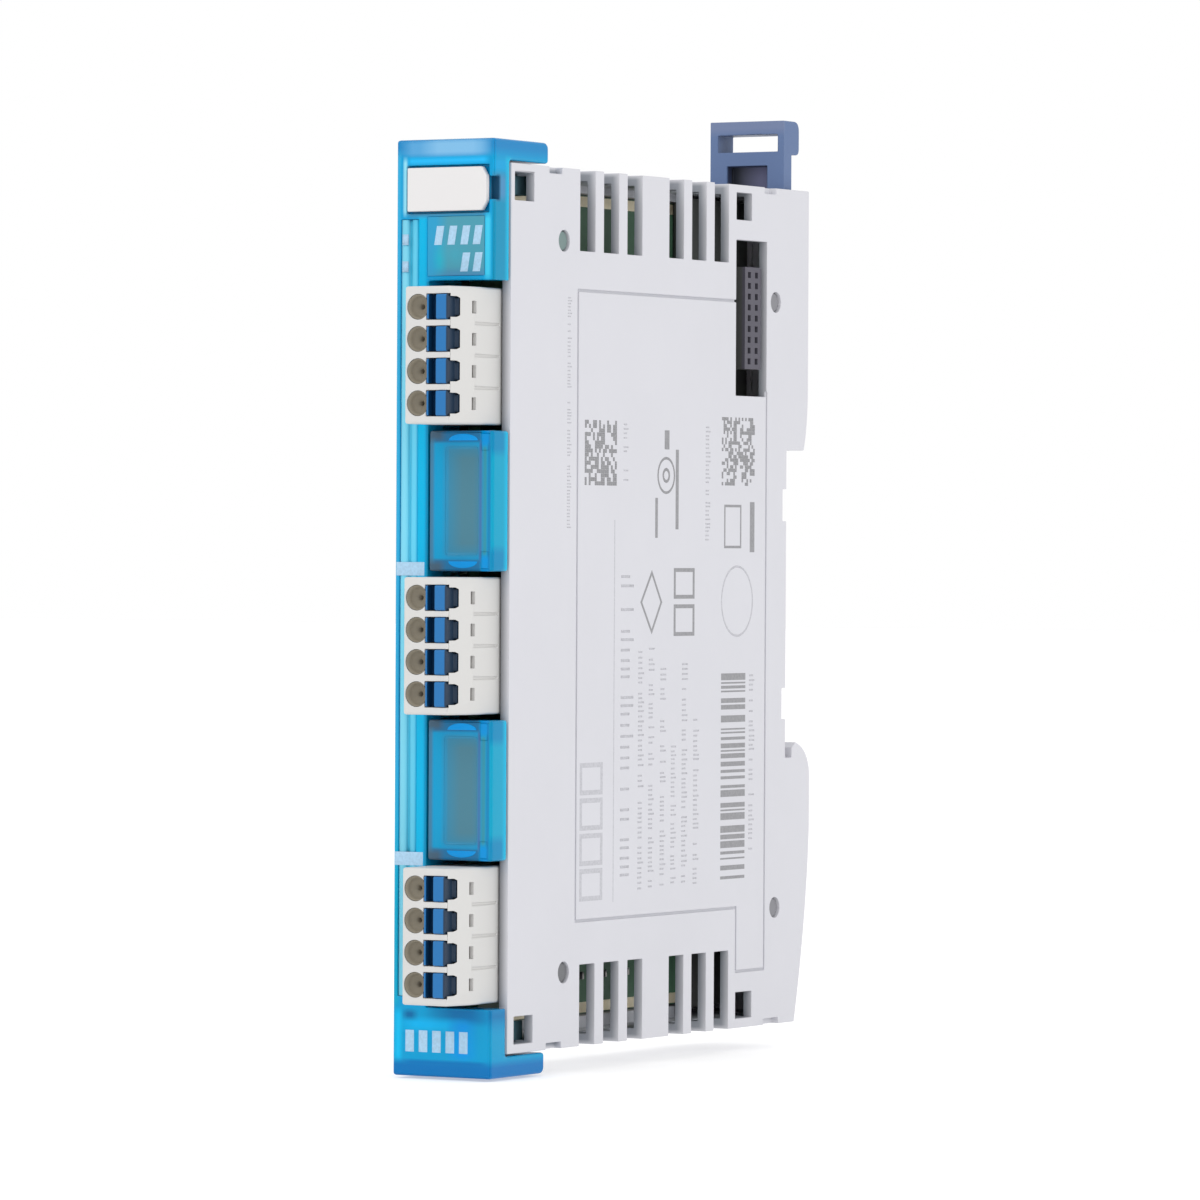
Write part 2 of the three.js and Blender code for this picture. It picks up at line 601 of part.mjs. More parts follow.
function capacitor([y, z]) {
  const baseHalf = 2.9;
  const base = box(PART_FOOT, PART_FOOT + 0.9, y - baseHalf, y + baseHalf, z - baseHalf, z + baseHalf);
  return joined(base, rodX(y, z, 2.7, PART_FOOT + 0.5, PART_FOOT + 5.6));
}

function statusLed(z) {
  return box(2.0, BOARD_LEFT - SEAM, BOARD_FRONT + 0.1, BOARD_FRONT + 1.7, z - 0.7, z + 0.7);
}

// ---- the assembly ----
function meshOf(name, solid, material, z = 0) {
  const mesh = new THREE.Mesh(toGeometry(solid), material);
  mesh.name = name;
  mesh.position.z = z;
  return mesh;
}

function placeHeight(place) {
  return PLACE_MIDDLE + place * PLACE_PITCH;
}

// One connector place: the header on the board, and the plug with its clamps and buttons.
function connector(label, place) {
  const connectorGroup = new THREE.Group();
  connectorGroup.position.z = placeHeight(place);
  connectorGroup.add(meshOf(`pin_header_${label}`, pinHeader(), BUS_BLACK));
  connectorGroup.add(meshOf(`plug_body_${label}`, plugBody(), PLUG_WHITE));
  poleHeights().forEach((z, i) => {
    connectorGroup.add(meshOf(`release_button_${label}_${i + 1}`, releaseButton(), BUTTON_BLUE, z));
    connectorGroup.add(meshOf(`wire_clamp_${label}_${i + 1}`, wireClamp(), CLAMP_STEEL, z));
  });
  return connectorGroup;
}

const group = new THREE.Group();
const moduleAxes = new THREE.Group();
moduleAxes.position.set(-WIDTH / 2, -RAIL_SEAT, -RAIL_CENTRE);
group.add(moduleAxes);

moduleAxes.add(meshOf('left_shell', leftShell(), HOUSING_GREY));
moduleAxes.add(meshOf('right_shell', rightShell(), HOUSING_GREY));
moduleAxes.add(meshOf('front_cover', frontCover(), COVER_BLUE));
moduleAxes.add(meshOf('light_guide', lightGuide(), GUIDE_CLEAR));
moduleAxes.add(meshOf('marking_tag', markingTag(), TAG_WHITE));
moduleAxes.add(meshOf('blank_cap_upper', blankCap(), COVER_BLUE, placeHeight(1)));
moduleAxes.add(meshOf('blank_cap_lower', blankCap(), COVER_BLUE, placeHeight(-1)));
moduleAxes.add(connector('upper', 2));
moduleAxes.add(connector('middle', 0));
moduleAxes.add(connector('lower', -2));
moduleAxes.add(meshOf('rail_latch', railLatch(), LATCH_BLUE));
moduleAxes.add(meshOf('main_board', mainBoard(), BOARD_GREEN));
moduleAxes.add(meshOf('insulating_shield', insulatingShield(), BUS_BLACK));
moduleAxes.add(meshOf('bus_socket', busSocket(), BUS_BLACK));
moduleAxes.add(meshOf('bus_plug', busPlug(), BUS_BLACK));
BOARD_PARTS.forEach(([name, ...sizes]) => {
  moduleAxes.add(meshOf(name, boardPart(...sizes), CHIP_BLACK));
});
CAPACITORS.forEach((place, i) => {
  moduleAxes.add(meshOf(`capacitor_${i + 1}`, capacitor(place), CAN_METAL));
});
LED_HEIGHTS.forEach((z, i) => {
  moduleAxes.add(meshOf(`status_led_${i + 1}`, statusLed(z), TAG_WHITE));
});

export default group;
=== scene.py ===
import json
import math
import random

import bmesh
import bpy
from mathutils import Matrix, Vector


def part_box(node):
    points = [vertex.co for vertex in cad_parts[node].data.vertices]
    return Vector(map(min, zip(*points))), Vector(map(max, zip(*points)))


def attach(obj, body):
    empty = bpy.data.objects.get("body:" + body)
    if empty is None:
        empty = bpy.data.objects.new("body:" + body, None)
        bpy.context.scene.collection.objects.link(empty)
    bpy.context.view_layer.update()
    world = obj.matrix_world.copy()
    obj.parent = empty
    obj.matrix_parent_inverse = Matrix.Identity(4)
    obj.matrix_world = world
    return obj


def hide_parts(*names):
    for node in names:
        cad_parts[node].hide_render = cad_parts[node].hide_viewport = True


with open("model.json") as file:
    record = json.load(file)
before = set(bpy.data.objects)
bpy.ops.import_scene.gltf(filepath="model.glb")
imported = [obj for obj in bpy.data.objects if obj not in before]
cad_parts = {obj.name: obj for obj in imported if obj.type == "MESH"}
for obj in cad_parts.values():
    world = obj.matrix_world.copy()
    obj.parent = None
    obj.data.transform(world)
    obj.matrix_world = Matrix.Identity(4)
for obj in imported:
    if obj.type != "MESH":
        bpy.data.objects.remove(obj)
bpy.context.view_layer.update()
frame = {"nodes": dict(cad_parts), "record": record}

# ---------------------------------------------------------------- sizes
# The module's own axes, as the design has them: x = 0 is the left side, y = 0 the cover's front
# and z = 0 the middle of its height, in millimetres. ORIGIN is that point in the frame.
MM = 0.001
COVER_LOW, COVER_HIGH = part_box("front_cover")
ORIGIN = Vector((COVER_LOW.x, COVER_LOW.y, (COVER_LOW.z + COVER_HIGH.z) / 2))


def at(x, y, z):
    """A point of the module's axes, in millimetres, as a point of the frame in metres."""
    return ORIGIN + Vector((x, y, z)) * MM


def extent(node):
    """A CAD node's box in the module's axes: x0, x1, y0, y1, z0, z1 in millimetres."""
    low, high = [(corner - ORIGIN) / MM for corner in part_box(node)]
    return low.x, high.x, low.y, high.y, low.z, high.z


def middle_height(node):
    """The height of the middle of a CAD node, in millimetres."""
    low, high = extent(node)[4:]
    return (low + high) / 2


WIDTH = (COVER_HIGH.x - COVER_LOW.x) / MM
HALF_HEIGHT = (COVER_HIGH.z - COVER_LOW.z) / 2 / MM
SHELL_HALF = extent("right_shell")[5]
BEYOND = 1.0             # how far a cutting solid reaches past what it cuts

POLES = [1, 2, 3, 4]
PLACES = ["upper", "middle", "lower"]
PLUG_X0, PLUG_X1, PLUG_Y0, PLUG_Y1, PLUG_Z0, PLUG_Z1 = extent("plug_body_middle")
PLUG_HALF = (PLUG_Z1 - PLUG_Z0) / 2
PLUG_HEIGHTS = {place: middle_height(f"plug_body_{place}") for place in PLACES}
BUTTON_X0, BUTTON_X1, BUTTON_Y0, BUTTON_Y1 = extent("release_button_middle_1")[:4]
POLE_PITCH = (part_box("release_button_middle_1")[0].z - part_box("release_button_middle_2")[0].z) / MM
POLE_HEIGHTS = [(1.5 - i) * POLE_PITCH for i in range(len(POLES))]
BEVEL_START, BEVEL_BACK = 10.35, -1.9     # a plug's slanted face: the x where it starts, its last y
TEST_X, TEST_Y0, TEST_Y1, TEST_HALF = BEVEL_START + 0.55, -2.2, -1.45, 0.7       # the test slots
TONGUE_BACK = -2.8       # the back of a release button's tongue
PRESS = 1.2              # how far a release button goes in
BUTTON_HALF = 1.38
WELL_HALF = BUTTON_HALF + 0.07
WIRE_X, WIRE_RADIUS = 6.25, 1.42
COVER_ROUNDING, CAP_ROUNDING, PLUG_ROUNDING, BUTTON_ROUNDING = 0.35, 0.3, 0.3, 0.22
FINE_ROUNDING = 0.05     # of small pieces, and of the edges that a cut leaves
CAP_X0, CAP_X1, _, CAP_Y1, CAP_Z0, CAP_Z1 = extent("blank_cap_upper")
CAP_HALF = (CAP_Z1 - CAP_Z0) / 2
CAP_HEIGHTS = {place: middle_height(f"blank_cap_{place}") for place in ("upper", "lower")}


# ---------------------------------------------------------------- materials
STUDIO_LIGHT = 1.2       # how bright a white surface is under this scene's lights
CLEAR_LIGHT = 1.06       # the same for clear plastic, which lets some of the light through
GLOSS = 0.012            # what the shine of a plastic surface adds


def seen(color, light=STUDIO_LIGHT):
    """The base colour of a surface that shows as this display colour in the studio light."""
    shown = [v / 255 for v in color]
    linear = [v / 12.92 if v < 0.04 else ((v + 0.055) / 1.055) ** 2.4 for v in shown]
    return tuple(min(0.95, max(0.0, v / light - GLOSS)) for v in linear)


def zone(color, **ranges):
    """A part of a surface with a colour laid over it: in most zones painted light and shade, in a few a
    colour that the part has. A range is (low, high, softness of its ends) in millimetres along x, y or z of
    the module, or along h, which is z without its sign."""
    return ranges, color


class Nodes:
    """A material's node tree, with short calls for the nodes that the materials share."""

    def __init__(self, name):
        self.material = bpy.data.materials.new(name)
        self.material.use_nodes = True
        self.tree = self.material.node_tree
        self.shader = self.tree.nodes["Principled BSDF"]
        self.axes = {}

    def add(self, kind, **inputs):
        node = self.tree.nodes.new(kind)
        for key, value in inputs.items():
            self.put(node, key.replace("_", " "), value)
        return node

    def put(self, node, socket, value):
        if isinstance(value, bpy.types.NodeSocket):
            self.tree.links.new(value, node.inputs[socket])
        elif isinstance(value, tuple) and len(value) == 3 and node.inputs[socket].type == "RGBA":
            node.inputs[socket].default_value = (*value, 1.0)
        else:
            node.inputs[socket].default_value = value

    def where(self):
        return self.add("ShaderNodeTexCoord").outputs["Object"]

    def axis(self, letter):
        """One coordinate of the surface point in the module's axes, in millimetres."""
        if letter == "h":
            return self.math("ABSOLUTE", self.axis("z"))
        if letter not in self.axes:
            split = self.add("ShaderNodeSeparateXYZ", Vector=self.where())
            start = ORIGIN["xyz".index(letter)]
            offset = self.math("SUBTRACT", split.outputs[letter.upper()], start)
            self.axes[letter] = self.math("DIVIDE", offset, MM)
        return self.axes[letter]

    def noise(self, scale, detail=3.0, rough=0.5, vector=None):
        node = self.add("ShaderNodeTexNoise", Scale=scale, Detail=detail, Roughness=rough)
        self.tree.links.new(vector or self.where(), node.inputs["Vector"])
        return node.outputs["Fac"]

    def ramp(self, fac, low, high, start=0.3, stop=0.7):
        node = self.add("ShaderNodeMapRange")
        for socket, value in (("From Min", start), ("From Max", stop), ("To Min", low), ("To Max", high)):
            node.inputs[socket].default_value = value
        self.tree.links.new(fac, node.inputs["Value"])
        return node.outputs["Result"]

    def math(self, operation, a, b=0.0):
        node = self.tree.nodes.new("ShaderNodeMath")
        node.operation = operation
        self.put(node, 0, a)
        self.put(node, 1, b)
        return node.outputs[0]

    def inside(self, letter, low, high, soft):
        """1 between two places along an axis and 0 outside them."""
        off_middle = self.math("ABSOLUTE", self.math("SUBTRACT", self.axis(letter), (low + high) / 2))
        half = (high - low) / 2
        return self.ramp(off_middle, 1.0, 0.0, half - soft, half + soft)

    def mix(self, fac, a, b):
        node = self.tree.nodes.new("ShaderNodeMix")
        node.data_type = "RGBA"
        for socket, value in ((0, fac), (6, a), (7, b)):
            self.put(node, socket, value)
        return node.outputs[2]

    def painted(self, surface, zones, light=STUDIO_LIGHT):
        """The surface's colour with each zone's colour laid over it, in order."""
        for ranges, color in zones:
            mask = None
            for letter, (low, high, soft) in ranges.items():
                part = self.inside(letter, low, high, soft)
                mask = part if mask is None else self.math("MULTIPLY", mask, part)
            surface = self.mix(mask, surface, seen(color, light))
        return surface

    def bump(self, height, strength, distance):
        node = self.add("ShaderNodeBump", Strength=strength, Distance=distance)
        self.tree.links.new(height, node.inputs["Height"])
        self.tree.links.new(node.outputs["Normal"], self.shader.inputs["Normal"])


def shade(color, factor):
    return tuple(min(1.0, c * factor) for c in color)


def moulded(name, color, rough=0.5, grain=0.35, texture_mm=0.25, tint=0.012, zones=()):
    """Fine-textured moulded plastic: an eroded grain, faint mottling and uneven gloss, with painted light
    and shade laid over it in its zones.
    """
    n = Nodes(name)
    base = seen(color)
    mottle = n.ramp(n.noise(55.0, 5.0), 0.0, 1.0)
    surface = n.mix(mottle, shade(base, 1 - tint), shade(base, 1 + tint))
    n.put(n.shader, "Base Color", n.painted(surface, zones))
    n.put(n.shader, "Roughness", n.ramp(n.noise(260.0, 5.0), rough - 0.06, rough + 0.07))
    n.put(n.shader, "Specular IOR Level", 0.3)
    n.bump(n.noise(1.0 / (texture_mm * MM), 2.0, 0.6), grain, 0.012 * MM)
    return n.material


def dyed(name, color, tint=0.06, rough=0.12, clear=0.08, zones=()):
    """Dyed clear plastic: some light goes through, the rest scatters in its colour. The zones are painted
    light and shade: lit rims and painted highlights, and painted shade where hollows lie behind its faces."""
    n = Nodes(name)
    base = seen(color, CLEAR_LIGHT)
    surface = n.mix(n.ramp(n.noise(45.0, 2.0), 0.0, 1.0), shade(base, 1 - tint), shade(base, 1 + tint))
    n.put(n.shader, "Base Color", n.painted(surface, zones, CLEAR_LIGHT))
    n.put(n.shader, "Roughness", n.ramp(n.noise(300.0, 3.0), rough * 0.7, rough * 1.5))
    n.put(n.shader, "Transmission Weight", clear)
    n.put(n.shader, "Specular IOR Level", 0.14)
    n.bump(n.noise(160.0, 2.0), 0.12, 0.03 * MM)
    return n.material


def metallic(name, color, rough=0.3, scratch=0.2):
    n = Nodes(name)
    n.put(n.shader, "Base Color", n.mix(n.ramp(n.noise(700.0, 4.0), 0.0, 1.0), shade(color, 0.85), color))
    n.put(n.shader, "Metallic", 1.0)
    n.put(n.shader, "Roughness", n.ramp(n.noise(900.0, 4.0), rough - 0.08, rough + 0.15))
    n.bump(n.noise(1500.0, 3.0), scratch, 0.01 * MM)
    return n.material


def ink(name, color):
    """A matt print with fine gaps."""
    n = Nodes(name)
    base = seen(color)
    gaps = n.ramp(n.noise(4000.0, 2.0), 0.0, 1.0, 0.35, 0.65)
    n.put(n.shader, "Base Color", n.mix(gaps, shade(base, 0.93), shade(base, 1.07)))
    n.put(n.shader, "Roughness", 0.75)
    n.put(n.shader, "Specular IOR Level", 0.2)
    return n.material


FRONT = (-1.0, 0.6, 0.3)           # the front face and its rim, along y
OUT = 99.0                         # past any side of the module
SIDE = (WIDTH - 0.3, OUT, 0.1)     # the right side face, along x
TOP_BLOCK = (36.0, 50.0, 0.3)
LIT_RIM, LIT_EDGE = (10, 185, 225), (32, 193, 243)

COVER_ZONES = [
    # the spine beside the light guide, and the cover's left edge: painted lit rims, and painted shade
    # beside the type panel
    zone((20, 183, 230), x=(2.9, 3.95, 0.2), y=FRONT, h=(-OUT, 44, 0.5)),
    zone((20, 140, 182), x=(4.05, 4.4, 0.1), y=FRONT, h=(-OUT, 36.3, 0.1)),
    zone((58, 174, 222), x=(-OUT, 0.62, 0.15), y=FRONT),
    zone((8, 172, 209), x=(-OUT, 0.8, 0.3), y=FRONT, z=(-50, -24, 7)),
    # the top block's side and its right front edge: painted shade on the side and the notch's side, a
    # painted lit rim, and a painted highlight on the front edge
    zone((28, 148, 188), x=SIDE, z=TOP_BLOCK),
    zone((5, 165, 220), x=SIDE, y=(-1, OUT, 0.1), z=(48.3, 50.0, 0.5)),
    zone((80, 146, 192), x=SIDE, z=(45.4, 48.0, 0.5), y=(-1, 2.4, 0.4)),
    zone(LIT_RIM, x=SIDE, y=(2.5, 3.6, 0.35), z=TOP_BLOCK),
    zone((70, 205, 240), x=(11.6, 12.3, 0.2), y=FRONT, z=(36.6, 43.6, 0.5)),
    # both flanges, the upper one's front, the rims round the marking tag and the notch beside it: painted
    # highlights on the upper front and the tag's rims, painted shade under the tag and in the notch
    zone((40, 136, 196), h=(50.6, OUT, 0.6)),
    zone((95, 168, 218), x=(1.2, 11.8, 0.9), y=FRONT, z=(50.3, 51.9, 0.3)),
    zone((132, 190, 230), x=(4.2, 11.2, 1.2), y=FRONT, z=(50.4, 51.9, 0.3)),
    zone((50, 188, 248), x=(1.6, 11.8, 0.4), y=FRONT, z=(49.4, 50.0, 0.25)),
    zone((150, 224, 244), x=(0.95, 1.4, 0.15), y=FRONT, z=(43.8, 49.9, 0.4)),
    zone((70, 140, 176), x=(1.6, 11.6, 0.4), y=FRONT, z=(43.5, 44.4, 0.25)),
    zone((18, 72, 102), x=(11.8, OUT, 0.1), y=(0.35, 1.2, 0.25), z=(45.2, 48.0, 0.2)),
    # the bottom block's front: painted lit bands and a lit edge, and painted shade under the plug above it
    zone((10, 162, 214), x=(-OUT, WIDTH - 0.4, 0.1), y=FRONT, z=(-50.5, -44.2, 0.3)),
    zone((18, 122, 182), x=(6.0, WIDTH - 0.4, 2.0), y=FRONT, z=(-46.0, -44.3, 0.4)),
    zone((0, 184, 242), x=(1.6, 8.5, 1.5), y=FRONT, z=(-46.9, -45.7, 0.4)),
    zone((0, 156, 234), x=(7.8, 10.4, 0.9), y=FRONT, z=(-50.0, -45.8, 0.5)),
    zone((16, 112, 168), x=(1.5, 3.0, 0.5), y=FRONT, z=(-45.7, -44.8, 0.3)),
    zone((24, 124, 190), x=(1.8, WIDTH - 0.8, 0.6), y=FRONT, z=(-50.8, -50.3, 0.2)),
    zone(LIT_EDGE, x=(0.35, 1.15, 0.3), y=FRONT, z=(-50.3, -44.8, 0.5)),
    # the bottom block's side and the lower flange with painted light and shade, and painted shade on the
    # clip arms inside the housing
    zone((23, 124, 180), x=SIDE, z=(-46.4, -44.0, 1.2)),
    zone((0, 158, 206), x=SIDE, z=(-50.2, -46.4, 1.2)),
    zone((20, 122, 190), z=(-OUT, -50.5, 0.4)),
    zone((116, 158, 172), y=(4.5, OUT, 0.5), h=(-OUT, 48.6, 0.1)),
]
CAP_FRONT = (-1.0, 1.2, 0.2)
CAP_ZONES = [
    # the front: its edges, its rims and the window between them, with painted highlights on the rims and
    # painted shade in the window and the left corners
    zone((72, 130, 164), x=(-OUT, CAP_X0 + 0.6, 0.2), y=CAP_FRONT),
    zone((46, 120, 168), x=(CAP_X0 + 0.6, 11.2, 0.2), y=CAP_FRONT, h=(6.5, OUT, 0.15)),
    zone((34, 158, 206), x=(5.3, 6.4, 0.35), y=CAP_FRONT, h=(-OUT, 6.4, 0.3)),
    zone((66, 140, 172), x=(6.6, 11.0, 0.5), y=CAP_FRONT, h=(-OUT, 6.1, 0.5)),
    zone((84, 134, 152), x=(7.8, 11.0, 0.9), y=CAP_FRONT, h=(-OUT, 5.4, 0.7)),
    zone((74, 122, 174), x=(11.0, 11.35, 0.12), y=CAP_FRONT, h=(-OUT, 6.6, 0.3)),
    zone((62, 150, 170), x=(11.5, 12.0, 0.15), y=CAP_FRONT, h=(-OUT, 6.0, 0.3)),
    zone((40, 136, 186), x=(12.1, 12.5, 0.1), y=CAP_FRONT),
    zone((78, 104, 124), x=(-OUT, 6.3, 0.5), y=CAP_FRONT, h=(6.7, OUT, 0.4)),
    zone((6, 152, 224), x=(11.3, 12.3, 0.2), y=CAP_FRONT, h=(6.2, OUT, 0.3)),
    # the side with a painted lit rim and painted shade at its ends, and painted shade on the legs inside
    # the housing
    zone((2, 166, 202), x=SIDE),
    zone((22, 142, 190), x=SIDE, h=(5.3, OUT, 0.5)),
    zone(LIT_RIM, x=SIDE, y=(2.5, OUT, 0.35)),
    zone((46, 80, 92), y=(4.0, OUT, 0.3)),
]
PANEL_ZONES = [
    zone((58, 162, 206), x=(-OUT, 6.0, 0.8), y=FRONT),
    zone((40, 184, 206), x=(5.3, 6.2, 0.6), y=FRONT, z=(37.5, 40.0, 1.2)),
    zone((78, 166, 188), x=(6.5, 9.0, 1.2), y=FRONT, z=(38.2, 40.2, 0.8)),
    zone((80, 142, 184), x=(5.5, OUT, 1.5), y=FRONT, z=(-OUT, 37.4, 0.5)),
]
LATCH_Y0, LATCH_Y1 = extent("rail_latch")[2:4]
LATCH_INNER = (LATCH_Y0 + 1.2, LATCH_Y1 - 0.1, 0.1)     # the rear part of the latch's thickness

# The housing's zones: painted shade on the inner walls, lighter again near their top and bottom ends, and
# painted shade on the right shell's front edge beside the plugs and caps.
HOUSING = moulded("housing_plastic", (222, 222, 228), 0.52, zones=[
    zone((165, 169, 177), x=(0.6, WIDTH - 0.5, 0.4), y=(5.0, 63.0, 0.2), h=(-OUT, SHELL_HALF - 0.3, 0.2)),
    zone((222, 224, 230), x=(0.6, 9.0, 0.4), y=(5.0, 50.0, 2.0), h=(46.6, SHELL_HALF - 0.3, 0.6)),
    zone((120, 121, 125), x=(10.5, WIDTH - 0.65, 0.55), y=(-OUT, 4.6, 0.2), h=(-OUT, 44.4, 0.2)),
])
COVER = dyed("cover_plastic", (25, 158, 212), zones=COVER_ZONES)
CAP = dyed("cap_plastic", (25, 158, 212), zones=CAP_ZONES)
CRESCENT = dyed("crescent_plastic", (0, 158, 236))
TYPE_PANEL = dyed("type_panel_plastic", (84, 158, 178), zones=PANEL_ZONES)
# The light strip's zones: painted light on the left rib, painted shade in the valley beside it, and a
# deeper cyan at its right edge.
GUIDE = dyed("guide_plastic", (104, 207, 238), 0.05, 0.18, 0.06, zones=[
    zone((130, 216, 240), x=(-OUT, 1.55, 0.2)),
    zone((70, 188, 224), x=(1.7, 1.95, 0.12)),
    zone((40, 186, 230), x=(2.75, OUT, 0.12)),
])
TAG = moulded("tag_plastic", (236, 234, 234), 0.6, 0.2)
PLUG = moulded("plug_plastic", (222, 221, 219), 0.5, 0.3)
# The wire entries' brown-grey is partly painted shade in the funnels and partly the tint of the copper
# clamps inside them.
WIRE_ENTRY = moulded("wire_entry_plastic", (152, 144, 128), 0.6, 0.3, tint=0.12)
TEST_POINT = moulded("test_point_plastic", (92, 87, 83), 0.5, 0.3, tint=0.05)
# The buttons' zones are painted shade: navy in the screwdriver groove and slate on the tongue beside it.
BUTTON = moulded("button_plastic", (48, 122, 186), 0.4, 0.2, tint=0.04, zones=[
    zone((36, 66, 102), x=(7.66, 8.72, 0.03), y=(BUTTON_Y0 + 0.1, OUT, 0.05)),
    zone((50, 66, 86), x=(BUTTON_X1 - 0.62, OUT, 0.05)),
])
# The latch's zones: lighter on the front of its head, and painted shade below the head, deepest in its rear
# part towards the left.
LATCH = moulded("latch_plastic", (104, 125, 165), 0.45, 0.3, tint=0.04, zones=[
    zone((122, 136, 170), x=(-OUT, OUT, 1.0), y=(-OUT, LATCH_Y0 + 0.2, 0.1), z=(56.5, OUT, 0.5)),
    zone((72, 80, 106), x=(2.5, 10.5, 0.02), y=(LATCH_Y0 + 0.3, LATCH_Y1 - 0.1, 0.1), z=(46.0, 56.1, 0.02)),
    zone((112, 114, 146), x=(3.7, 9.1, 0.02), y=LATCH_INNER, z=(46.0, 52.4, 0.02)),
    zone((56, 60, 70), x=(1.7, 6.0, 1.6), y=LATCH_INNER, z=(46.0, 52.4, 0.02)),
])
CONTACT_HOUSING = moulded("contact_plastic", (118, 117, 124), 0.55, 0.3, tint=0.05)
# The insulating sheet is dull grey, which also serves as painted shade inside the housing where it shows
# through the vents.
SHIELD = moulded("shield_plastic", (102, 103, 102), 0.5, 0.3, tint=0.08)
# The bus socket's zones are painted shade: a little darker away from its right face and at its upper end, a
# little lighter at its lower end.
DARK_HOUSING = moulded("bus_plastic", (96, 94, 104), 0.55, 0.3, tint=0.06, zones=[
    zone((92, 93, 92), x=(-OUT, WIDTH - 0.7, 0.1)),
    zone((90, 93, 91), x=(-OUT, WIDTH - 0.7, 0.1), z=(40.6, OUT, 0.3)),
    zone((100, 101, 98), x=(-OUT, WIDTH - 0.7, 0.1), z=(-OUT, 26.3, 0.3)),
])
CHIP = moulded("chip_plastic", (48, 48, 50), 0.45, 0.3, tint=0.1)
BOARD = moulded("board_laminate", (92, 128, 104), 0.35, 0.15, tint=0.12)
GOLD = metallic("edge_plating", (0.96, 0.88, 0.68), 0.55)
TIN = metallic("tinned_contact", (0.62, 0.61, 0.58), 0.3)
CLAMP = metallic("clamp_metal", (0.60, 0.53, 0.42), 0.35)
CAN = metallic("capacitor_metal", (0.62, 0.62, 0.64), 0.28)
LED = dyed("led_plastic", (235, 240, 220), 0.03, 0.2, 0.2)
# The pin heads are grey with painted shade for the holes they sit in: the two at the front are darker, the
# upper one with a greenish tone.
PIN_HEAD = moulded("pin_head_plastic", (146, 146, 151), 0.5, 0.3, zones=[
    zone((128, 148, 146), y=(-OUT, 20, 0.5), z=(0, OUT, 0.5)),
    zone((124, 125, 128), y=(-OUT, 20, 0.5), z=(-OUT, 0, 0.5)),
])
INK_DARK = ink("ink_dark", (162, 162, 165))
INK_FAINT = ink("ink_faint", (204, 204, 210))
INK_PALE = ink("ink_pale", (180, 216, 242))

SLOT_MATERIALS = {
    "housing_plastic": HOUSING,
    "cover_plastic": COVER,
    "guide_plastic": GUIDE,
    "tag_plastic": TAG,
    "plug_plastic": PLUG,
    "button_plastic": BUTTON,
    "clamp_metal": CLAMP,
    "contact_plastic": CONTACT_HOUSING,
    "latch_plastic": LATCH,
    "board_laminate": BOARD,
    "chip_plastic": CHIP,
    "capacitor_metal": CAN,
    "led_plastic": LED,
}
NODE_MATERIALS = {"bus_socket": DARK_HOUSING, "insulating_shield": SHIELD}


# ---------------------------------------------------------------- shapes
SHARP_ANGLE = math.radians(30)      # an edge that turns by more than this is rounded


def brick(x0, x1, y0, y1, z0, z1):
    corners = [(x, y, z) for x in (x0, x1) for y in (y0, y1) for z in (z0, z1)]
    faces = [(0, 1, 3, 2), (4, 6, 7, 5), (0, 4, 5, 1), (2, 3, 7, 6), (0, 2, 6, 4), (1, 5, 7, 3)]
    return corners, faces


def pushed(outline, axis, low, high):
    """An outline pushed along an axis. Its points are in the other two axes, in the order x, y, z."""
    place = "xyz".index(axis)
    ends = [[(*p[:place], depth, *p[place:]) for p in outline] for depth in (low, high)]
    count = len(outline)
    sides = [(i, (i + 1) % count, (i + 1) % count + count, i + count) for i in range(count)]
    caps = [tuple(range(count)), tuple(range(2 * count - 1, count - 1, -1))]
    return ends[0] + ends[1], sides + caps


def arc(u, v, radius, start, stop, steps=8, squeeze=1.0):
    """Points on an arc, angles in degrees; squeeze flattens it along its second axis."""
    angles = [math.radians(start + (stop - start) * i / steps) for i in range(steps + 1)]
    return [(u + radius * math.cos(a), v + squeeze * radius * math.sin(a)) for a in angles]


def turned(profile, axis, centre, steps=32, ring=False):
    """A profile of (place along the axis, radius) turned round the axis, and closed at both ends. In a
    ring the profile is a loop instead, and its last point is joined to its first."""
    place = "xyz".index(axis)
    points, faces = [], []
    for along, radius in profile:
        for i in range(steps):
            angle = 2 * math.pi * i / steps
            u, v = centre[0] + radius * math.cos(angle), centre[1] + radius * math.sin(angle)
            points.append((u, v)[:place] + (along,) + (u, v)[place:])
    rows = len(profile)
    for row in range(rows if ring else rows - 1):
        near, far = row * steps, (row + 1) % rows * steps
        for i in range(steps):
            j = (i + 1) % steps
            faces.append((near + i, near + j, far + j, far + i))
    if not ring:
        faces.append(tuple(range(steps)))
        faces.append(tuple((rows - 1) * steps + i for i in reversed(range(steps))))
    return points, faces


def together(solids):
    """Several solids as one list of points and faces."""
    points, faces = [], []
    for solid_points, solid_faces in solids:
        faces += [tuple(i + len(points) for i in face) for face in solid_faces]
        points += solid_points
    return points, faces


def mesh_of(solid):
    points, faces = solid
    mesh = bpy.data.meshes.new("piece")
    mesh.from_pydata([at(*p) for p in points], [], faces)
    shape = bmesh.new()
    shape.from_mesh(mesh)
    bmesh.ops.recalc_face_normals(shape, faces=shape.faces)
    shape.to_mesh(mesh)
    shape.free()
    return mesh


def modified(mesh, kind, **settings):
    """The mesh after one modifier, as a new mesh."""
    work = bpy.data.objects.new("work", mesh)
    bpy.context.scene.collection.objects.link(work)
    modifier = work.modifiers.new(kind, kind)
    for key, value in settings.items():
        setattr(modifier, key, value)
    depsgraph = bpy.context.evaluated_depsgraph_get()
    result = bpy.data.meshes.new_from_object(work.evaluated_get(depsgraph), depsgraph=depsgraph)
    bpy.data.objects.remove(work)
    return result


